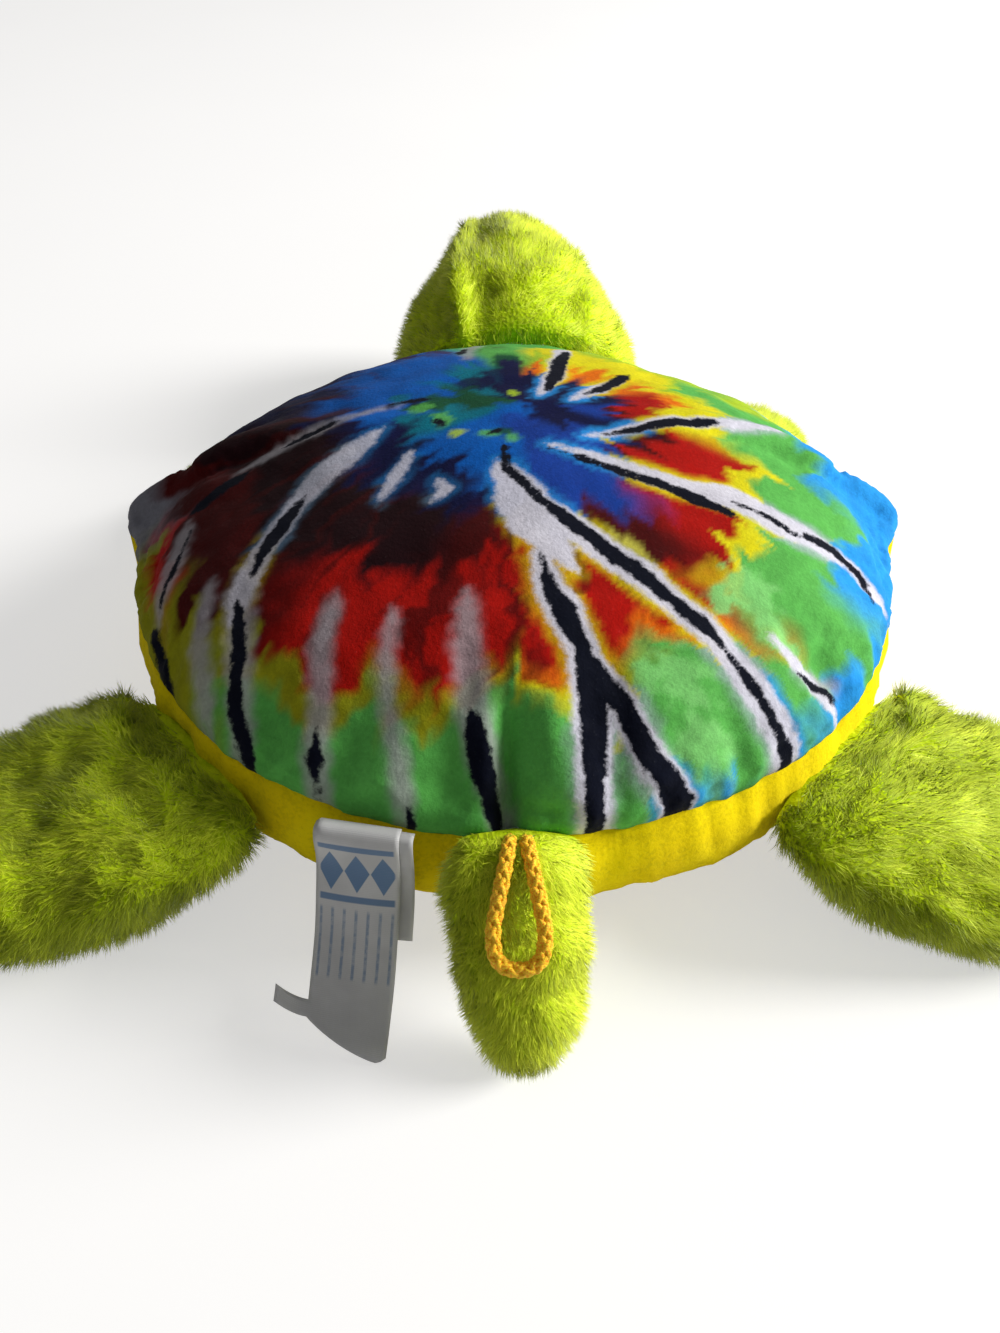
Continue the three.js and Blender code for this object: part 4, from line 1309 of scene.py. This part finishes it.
def held_body(points):
    """The seam along the edge holds the cloth, and so does the floor."""
    share = np.hypot(points[:, 0], points[:, 1]) / rim_radius(np.arctan2(points[:, 1], points[:, 0]))
    seam = smoothstep(6, 2, np.abs(points[:, 2] - RIM_HEIGHT)) * smoothstep(0.8, 0.95, share)
    return np.maximum(seam, smoothstep(3, 1.5, points[:, 2]))


class MakeShell(bpy.types.Operator):
    """Makes the printed cloth of the shell"""

    bl_idname = "turtle.make_shell"
    bl_label = "Make Shell"

    def execute(self, context):
        settings = context.scene.turtle_shell
        bm, points = cloth_disc(SHELL_CELLS, dome_height, 1, settings.pucker / MM, 21)
        points = fold_in(points, settings.dart_depth / MM)
        put(bm, points + body_swell()(points))
        turn_in_edge(bm, HEM_DROP)
        obj = piece(bm, "shell_cloth", printed_velour(settings))
        co = vertex_points(obj.data)
        print_made = obj.data.attributes.new("dye", "FLOAT_COLOR", "POINT")
        undyed = line_depth(co, UNDYED_LINES)
        color = dye_colors(co, undyed, line_depth(co, FADED_LINES))
        print_made.data.foreach_set("color", np.hstack([color, np.ones((len(co), 1))]).ravel())
        # Painted shade: the undyed folds show less of their pale colour towards the left, away from the lamp
        bare = 0.97 - 0.3 * smoothstep(10, -60, co[:, 0])
        for name, depth in (("undyed", undyed), ("ink", line_depth(co, INK_LINES)), ("bare", bare)):
            obj.data.attributes.new(name, "FLOAT", "POINT").data.foreach_set("value", depth)
        wall(obj, CLOTH_WALL * MM)
        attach(obj, "body")
        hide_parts("shell_cover")
        return {"FINISHED"}


class MakeBelly(bpy.types.Operator):
    """Makes the plain cloth of the belly"""

    bl_idname = "turtle.make_belly"
    bl_label = "Make Belly"

    def execute(self, context):
        shell = context.scene.turtle_shell
        bm, points = cloth_disc(
            BELLY_CELLS, lambda share, turn: belly_height(share), -1, shell.pucker / MM, 31)
        folded = fold_in(points, shell.dart_depth / MM)
        points = points + (folded - points) * smoothstep(15, 40, points[:, 2:]) + body_swell()(points)
        keep_above(points, BELLY_LOWEST)
        put(bm, points)
        turn_in_edge(bm, -HEM_DROP)
        obj = piece(bm, "belly_cloth", yellow_velour(context.scene.turtle_belly))
        wall(obj, CLOTH_WALL * MM)
        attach(obj, "body")
        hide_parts("belly_cover")
        return {"FINISHED"}


# ---------------------------------------------------------------- Fur

def tuft_template():
    """One tuft: a closed three-sided spike."""
    bm = bmesh.new()
    bmesh.ops.create_cone(bm, cap_ends=True, cap_tris=False, segments=3, radius1=1, radius2=0, depth=1)
    bmesh.ops.translate(bm, verts=bm.verts, vec=(0, 0, 0.5))
    bmesh.ops.remove_doubles(bm, verts=bm.verts, dist=1e-4)
    bm.verts.ensure_lookup_table()
    shape = np.array([v.co for v in bm.verts])
    faces = [[v.index for v in f.verts] for f in bm.faces]
    bm.free()
    return shape, faces


def scattered(obj, count, seed):
    """Points spread evenly over a piece's faces in millimetres, with the way that they face."""
    draw = np.random.default_rng(seed)
    mesh = obj.data
    mesh.calc_loop_triangles()
    corners = vertex_points(mesh)
    triangles = np.empty(3 * len(mesh.loop_triangles), int)
    mesh.loop_triangles.foreach_get("vertices", triangles)
    a, b, c = (corners[triangles.reshape(-1, 3)[:, k]] for k in range(3))
    cross = np.cross(b - a, c - a)
    area = np.linalg.norm(cross, axis=1)
    pick = draw.choice(len(area), count, p=area / area.sum())
    r, s = np.sqrt(draw.random(count)), draw.random(count)
    points = (a[pick] * (1 - r)[:, None] + b[pick] * (r * (1 - s))[:, None] + c[pick] * (r * s)[:, None])
    return points, unit(cross[pick]), draw


# How much a tuft's way follows the comb, the whorls in the pile and chance, against the way that the
# cloth faces, and how far it rises from the cloth at least
COMB_SHARE, WHORL_SHARE, LOOSE_SHARE, LEAST_RISE = 0.3, 0.55, 0.4, 0.25
WHORL_SIZE = 11
CLUMP_TUFTS = 15
# The least share of the set length and width that a tuft has, and how much more it may have
TUFT_LENGTHS, TUFT_WIDTHS = (0.72, 0.5), (0.75, 0.5)
TIP_LEAN, TIP_DROOP = 0.16, 0.07  # how far the tips bend along the comb and down, in tuft lengths
CLUMP_PULL = (0.08, 0.36)  # the least share that a tuft is drawn to its clump, and how much more
WHORL_TONE, CLUMP_TONE, TUFT_TONE = 0.22, 0.16, 0.1
# How much the light on a tuft follows its own way and chance, against the cloth under it
OWN_FACING, LOOSE_FACING = 0.35, 0.25
TUFT_LOWEST = 0.15
HIDDEN_DEPTH, TIP_MARGIN = 1.5, 2.2  # no tufts stand deeper in the body, or end nearer to it


def drawn_share(draw, shares, count):
    """Seeded random shares, from the least one and how much more there may be."""
    least, more = shares
    return least + more * draw.random(count)


def fur(name, skin, count, length, comb, width, painted_light_shift, seed, material_made):
    """Tufts of pile all over a skin, combed one way, in clumps, and none inside the body."""
    points, normals, draw = scattered(skin, count, seed)
    keep = ~in_body(points, HIDDEN_DEPTH)
    points, normals = points[keep], normals[keep]
    count = len(points)
    lean = unit(comb - normals * (normals @ comb)[:, None])
    whorls = np.stack([soft_noise(points, WHORL_SIZE, seed + k) for k in (1, 2, 3)], -1)
    loose = draw.normal(size=(count, 3))
    way = unit(normals + COMB_SHARE * lean + WHORL_SHARE * whorls + LOOSE_SHARE * loose)
    way = unit(way + normals * np.maximum(LEAST_RISE - np.sum(way * normals, 1), 0)[:, None])
    tall = length * drawn_share(draw, TUFT_LENGTHS, count)
    tips = way * tall[:, None] + lean * (TIP_LEAN * tall)[:, None] - (0, 0, TIP_DROOP * length)
    clumps = draw.choice(count, count // CLUMP_TUFTS, replace=False)
    tree = tree_of(points[clumps])
    own = clumps[[tree.find(p)[1] for p in points]]
    drawn = points[own] + tips[own] * 1.02 - points
    tips = toward(tips, drawn, drawn_share(draw, CLUMP_PULL, count))
    # The cover's shift of tone is painted light and shade; the rest of the tone differs at random
    tone = (0.5 + painted_light_shift + WHORL_TONE * soft_noise(points, WHORL_SIZE, seed + 5)
            + CLUMP_TONE * draw.normal(size=count)[own] + TUFT_TONE * draw.normal(size=count))
    clear = ~in_body(points + tips, -TIP_MARGIN)
    return strands(name, (points - normals * 0.3)[clear], normals[clear], tips[clear], width,
                   np.clip(tone[clear], 0, 1), draw, material_made)


def strands(name, roots, normals, tips, width, tone, draw, material_made):
    """One mesh of all the tufts."""
    shape, faces = tuft_template()
    count, corners = len(roots), len(shape)
    line = roots[:, None, :] + shape[:, 2][None, :, None] * tips[:, None, :]
    way = unit(tips)
    around = unit(np.cross(way, draw.normal(size=(count, 3))))
    across = np.cross(way, around)
    half = (width / 2 * drawn_share(draw, TUFT_WIDTHS, count))[:, None, None]
    beside = around[:, None, :] * shape[None, :, :1] + across[:, None, :] * shape[None, :, 1:2]
    points = (line + half * beside).reshape(-1, 3)
    keep_above(points, TUFT_LOWEST)
    sizes = np.array([len(f) for f in faces])
    loops = np.concatenate([np.array(f) for f in faces])
    mesh = bpy.data.meshes.new(name)
    mesh.vertices.add(count * corners)
    mesh.vertices.foreach_set("co", (points * MM).ravel())
    mesh.loops.add(count * len(loops))
    mesh.loops.foreach_set("vertex_index", (loops[None] + corners * np.arange(count)[:, None]).ravel())
    mesh.polygons.add(count * len(faces))
    starts = np.concatenate([[0], np.cumsum(sizes)[:-1]])
    mesh.polygons.foreach_set("loop_start", (starts[None] + len(loops) * np.arange(count)[:, None]).ravel())
    place = mesh.uv_layers.new(name=PILE_MAP)
    up = np.broadcast_to(0.02 + 0.96 * shape[loops, 2], (count, len(loops)))
    toned = 0.02 + 0.95 * tone[:, None] + 0.01 * shape[loops, 0][None]
    place.data.foreach_set("uv", np.stack([up, toned], -1).ravel())
    mesh.update(calc_edges=True)
    mesh.validate()
    mesh.shade_smooth()
    # Pile scatters light between its tufts, so that it is lit as the cloth under it is
    facing = unit(normals + OWN_FACING * way + LOOSE_FACING * draw.normal(size=(count, 3)))
    mesh.normals_split_custom_set_from_vertices(np.repeat(facing, corners, axis=0).tolist())
    obj = link(name, mesh, material_made)
    obj.visible_shadow = False
    return obj


class Cover(NamedTuple):
    """What a fur cover is made from.

    That is its limb, side and joint, the counts of its rings, steps and tufts, two distances from its
    seam that are read for a bend but don't bend it, and its pile's share of the set length and shift of tone.
    """

    name: str
    limb: Limb
    side: int
    joint: str
    rings: int
    steps: int
    tufts: int
    bend: tuple
    pile: float = 1
    # Painted light and shade on the pile: a brighter tone on the head and tail, a darker one on the rear
    # flippers
    tone: float = 0


COVERS = {cover.name: cover for cover in (
    Cover("head", HEAD, 1, "head_nod", 72, 96, 49500, (-6, 24), 1, 0.12),
    Cover("front_left_flipper", FRONT_FLIPPER, -1, "front_left_flap", 40, 64, 22000, (-3, 13), 0.6),
    Cover("front_right_flipper", FRONT_RIGHT_FLIPPER, 1, "front_right_flap", 44, 64, 25000, (-3, 13)),
    Cover("rear_left_flipper", REAR_FLIPPER, -1, "rear_left_flap", 56, 80, 48000, (-4, 16), 1, -0.08),
    Cover("rear_right_flipper", REAR_FLIPPER, 1, "rear_right_flap", 56, 80, 48000, (-4, 16), 1, -0.3),
    Cover("tail", TAIL, 1, "tail_lift", 40, 56, 22000, (-2, 9), 0.9, 0.48),
)}
# Folds along the back of the head: the turn round it in degrees, and the depth
HEAD_FOLDS, HEAD_FOLD_HALF, HEAD_RADIUS = ((128, 4.4), (40, 2.2)), 3.6, 32
FLAT_ROOT = 0.2  # share of a limb's length in which its lumps fade out towards the seam
COMB_DROOP = 0.35  # how far down the pile is combed, for each part that it is combed outwards
LIMB_LOWEST = 0.4


def bend(obj, cover, seam):
    start, end = (seam.to_world(np.array([0, out, 0])) * MM for out in cover.bend)
    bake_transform(obj)
    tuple(start)
    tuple(end)


def make_cover(cover, settings, length, materials):
    """A limb's cloth with its pile."""
    seam = joint_seam(cover.joint)
    bm, points, along, turn = limb_mesh(cover.limb, cover.side, cover.rings, cover.steps, TAKEN_IN)
    world = seam.to_world(points)
    put(bm, world)
    normals = normals_of(bm)
    fade = smoothstep(0, FLAT_ROOT, along)
    seed = 40 + 7 * list(COVERS).index(cover.name)
    swell = layered_noise(world, (1.2, 17, seed), (0.6, 7, seed + 1)) * fade
    if cover.name == "head":
        part = smoothstep(0.06, FLAT_ROOT, along) * smoothstep(0.95, 0.7, along)
        for fold, depth in HEAD_FOLDS:
            apart = np.abs((turn - math.radians(fold) + math.pi) % (2 * math.pi) - math.pi) * HEAD_RADIUS
            swell -= depth * np.exp(-(apart / HEAD_FOLD_HALF) ** 2) * part
    root = seam.to_world(limb_line(cover.limb, cover.side, np.zeros(1)))[0]

    def held(places):
        near_seam = smoothstep(12, 5, (places - root) @ seam.axes[1])
        return np.maximum(near_seam, smoothstep(2, 1, places[:, 2]))

    world = world + normals * swell[:, None] + stuffed(bm, held)(world) * fade[:, None]
    keep_above(world, LIMB_LOWEST)
    put(bm, world)
    skin = piece(bm, f"{cover.name}_cloth", materials[1])
    comb = unit(seam.axes[1] - (0, 0, COMB_DROOP))
    pile = fur(f"{cover.name}_pile", skin, cover.tufts, cover.pile * length / MM, comb,
               settings.strand_width / MM, cover.tone, seed, materials[0])
    wall(skin, CLOTH_WALL * MM)
    for obj in (skin, pile):
        bend(obj, cover, seam)
    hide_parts(f"{cover.name}_cover")


def fur_materials(settings):
    """The pile's and the backing's materials, made once for all the covers."""
    found = [bpy.data.materials.get(name) for name in ("Lime pile", "Fur backing")]
    return found if all(found) else [pile_strands(settings), fur_backing(settings)]


def make_covers(context, kind):
    """The covers of one kind of limb, with its length of pile."""
    settings = context.scene.turtle_fur
    for name, cover in COVERS.items():
        if name.endswith(kind):
            make_cover(cover, settings, getattr(settings, f"{kind}_length"), fur_materials(settings))
    return {"FINISHED"}


class MakeHead(bpy.types.Operator):
    """Makes the furry head"""

    bl_idname = "turtle.make_head"
    bl_label = "Make Head"

    def execute(self, context):
        return make_covers(context, "head")


class MakeFlippers(bpy.types.Operator):
    """Makes the four furry flippers"""

    bl_idname = "turtle.make_flippers"
    bl_label = "Make Flippers"

    def execute(self, context):
        return make_covers(context, "flipper")


class MakeTail(bpy.types.Operator):
    """Makes the furry tail"""

    bl_idname = "turtle.make_tail"
    bl_label = "Make Tail"

    def execute(self, context):
        return make_covers(context, "tail")


# ---------------------------------------------------------------- Eyes

# Profiles in millimetres from the axis and out from the fur: the eye's stem, and the washer
STEM_PROFILE = ((0, -12.4), (1.4, -12.4), (2, -11.6), (2, -0.1))
WASHER_PROFILE = ((2.3, -7.4), (3.4, -7.4), (3.7, -7.1), (6.4, -7.1), (7, -6.8), (7, -6.4), (6.6, -6.2),
                  (3.6, -6.2), (3.2, -6.5), (2.3, -6.5), (2.3, -7.4))
EYE_RIM = 0.6  # height of the edge under an eye's dome
SPIN_STEPS = 40


def spun(profile, steps):
    """A round shape, turned from its profile round the z axis."""
    bm = bmesh.new()
    verts = [bm.verts.new((radius, 0, height)) for radius, height in profile]
    edges = [bm.edges.new(pair) for pair in zip(verts, verts[1:])]
    if profile[0] == profile[-1]:
        bmesh.ops.remove_doubles(bm, verts=verts, dist=1e-5)
        edges = list(bm.edges)
    bmesh.ops.spin(bm, geom=[*bm.verts, *edges], cent=(0, 0, 0), axis=(0, 0, 1), dvec=(0, 0, 0),
                   angle=2 * math.pi, steps=steps, use_merge=True, use_normal_flip=False, use_duplicate=False)
    bmesh.ops.remove_doubles(bm, verts=bm.verts, dist=1e-5)
    bmesh.ops.recalc_face_normals(bm, faces=bm.faces)
    return bm


def seat(bm, side):
    """Stands a turned shape on the head's fur at an eye, and writes it in metres."""
    point, outwards = EYE_SEATS[side]
    turned = Vector((0, 0, 1)).rotation_difference(Vector(outwards)).to_matrix()
    for vert in bm.verts:
        vert.co = (turned @ vert.co + Vector(point)) * MM


class MakeEyes(bpy.types.Operator):
    """Makes the eyes, and the washers that lock them inside the head"""

    bl_idname = "turtle.make_eyes"
    bl_label = "Make Eyes"

    def execute(self, context):
        settings = context.scene.turtle_eyes
        radius, rise = settings.radius / MM, settings.rise / MM
        dome = [(radius * math.cos(t), EYE_RIM + rise * math.sin(t)) for t in np.linspace(0, math.pi / 2, 14)]
        dome[-1] = (0, EYE_RIM + rise)
        eye = [*STEM_PROFILE, (radius - 0.8, -0.1), (radius - 0.2, 0.2), *dome]
        plastic, moulded = eye_plastic(settings), washer_plastic()
        for side in EYE_SEATS:
            for name, profile, made, slot in (
                    (f"eye_{side}", eye, plastic, "eye_plastic"),
                    (f"eye_washer_{side}", WASHER_PROFILE, moulded, "washer_plastic")):
                bm = spun(profile, SPIN_STEPS)
                seat(bm, side)
                obj = piece(bm, f"{name}_turned", made)
                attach(obj, "head")
                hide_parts(name)
        return {"FINISHED"}


# ---------------------------------------------------------------- Stuffing

# How far the body's filling stays inside the cloth at the sides, under the shell, above the belly
# and below the folds, and how much thinner it gets towards its edge
FILLING_INSET = {"sides": 7, "top": 3, "bottom": 2.5}
FILLING_FOLD, FILLING_THINNER = 3, 0.3
FILLING_LOWEST = 1.6


class MakeStuffing(bpy.types.Operator):
    """Makes the loose fibre inside the body and the limbs"""

    bl_idname = "turtle.make_stuffing"
    bl_label = "Make Stuffing"

    def execute(self, context):
        made = fibrefill()
        bm, points, share = closed_body(40, 64, **FILLING_INSET)
        thinner = 1 - FILLING_THINNER * share ** 12
        points[:, 2] = RIM_HEIGHT + (points[:, 2] - RIM_HEIGHT) * thinner
        depth = context.scene.turtle_shell.dart_depth / MM + FILLING_FOLD
        self.place(bm, fold_in(points, depth), 0.9, 81, "body", made)
        for k, cover in enumerate(COVERS.values()):
            inset = TAKEN_IN + CLOTH_WALL + 0.2 * cover.limb.half_thickness
            bm, points, _, _ = limb_mesh(cover.limb, cover.side, 24, 32, inset)
            self.place(bm, joint_seam(cover.joint).to_world(points), 0.7, 83 + k, cover.name, made)
        return {"FINISHED"}

    def place(self, bm, points, lumps, seed, body, made):
        """Roughens a block of filling, and gives the body's block to the body; a limb's block is left where
        it is.
        """
        put(bm, points)
        points = points + normals_of(bm) * (lumps * soft_noise(points, 9, seed))[:, None]
        keep_above(points, FILLING_LOWEST)
        put(bm, points)
        obj = piece(bm, f"{body}_fibrefill", made)
        if body == "body":
            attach(obj, body)
        else:
            bend(obj, COVERS[body], joint_seam(COVERS[body].joint))
        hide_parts(f"{body}_stuffing")


# ---------------------------------------------------------------- Panel

class TurtlePanel(bpy.types.Panel):
    """Lists the turtle's pieces and their sizes and colours"""

    bl_idname = "VIEW3D_PT_turtle"
    bl_label = "Plush Turtle"
    bl_space_type = "VIEW_3D"
    bl_region_type = "UI"
    bl_category = "Turtle"

    def draw(self, context):
        for settings, operators in PARTS:
            box = self.layout.box()
            group_made = getattr(context.scene, settings)
            for name in group_made.bl_rna.properties.keys():
                if name not in {"rna_type", "name"}:
                    box.prop(group_made, name)
            for operator in operators:
                box.operator(operator.bl_idname)


SETTINGS = {
    "turtle_stage": StageSettings, "turtle_cord": CordSettings, "turtle_labels": LabelSettings,
    "turtle_shell": ShellSettings, "turtle_belly": BellySettings, "turtle_fur": FurSettings,
    "turtle_eyes": EyeSettings,
}
PARTS = (
    ("turtle_stage", (MakeStage,)), ("turtle_cord", (MakeCord,)), ("turtle_labels", (MakeLabels,)),
    ("turtle_shell", (MakeShell,)), ("turtle_belly", (MakeBelly, MakeStuffing)),
    ("turtle_fur", (MakeFlippers, MakeTail, MakeHead)), ("turtle_eyes", (MakeEyes,)),
)
OPERATORS = tuple(operator for _, operators in PARTS for operator in operators)


def register():
    for cls in (*SETTINGS.values(), *OPERATORS, TurtlePanel):
        bpy.utils.register_class(cls)
    for name, cls in SETTINGS.items():
        setattr(bpy.types.Scene, name, PointerProperty(type=cls))


def unregister():
    for name in SETTINGS:
        delattr(bpy.types.Scene, name)
    for cls in reversed((*SETTINGS.values(), *OPERATORS, TurtlePanel)):
        bpy.utils.unregister_class(cls)


def main():
    register()
    for operator in OPERATORS:
        area, name = operator.bl_idname.split(".")
        getattr(getattr(bpy.ops, area), name)()


if __name__ == "__main__":
    main()
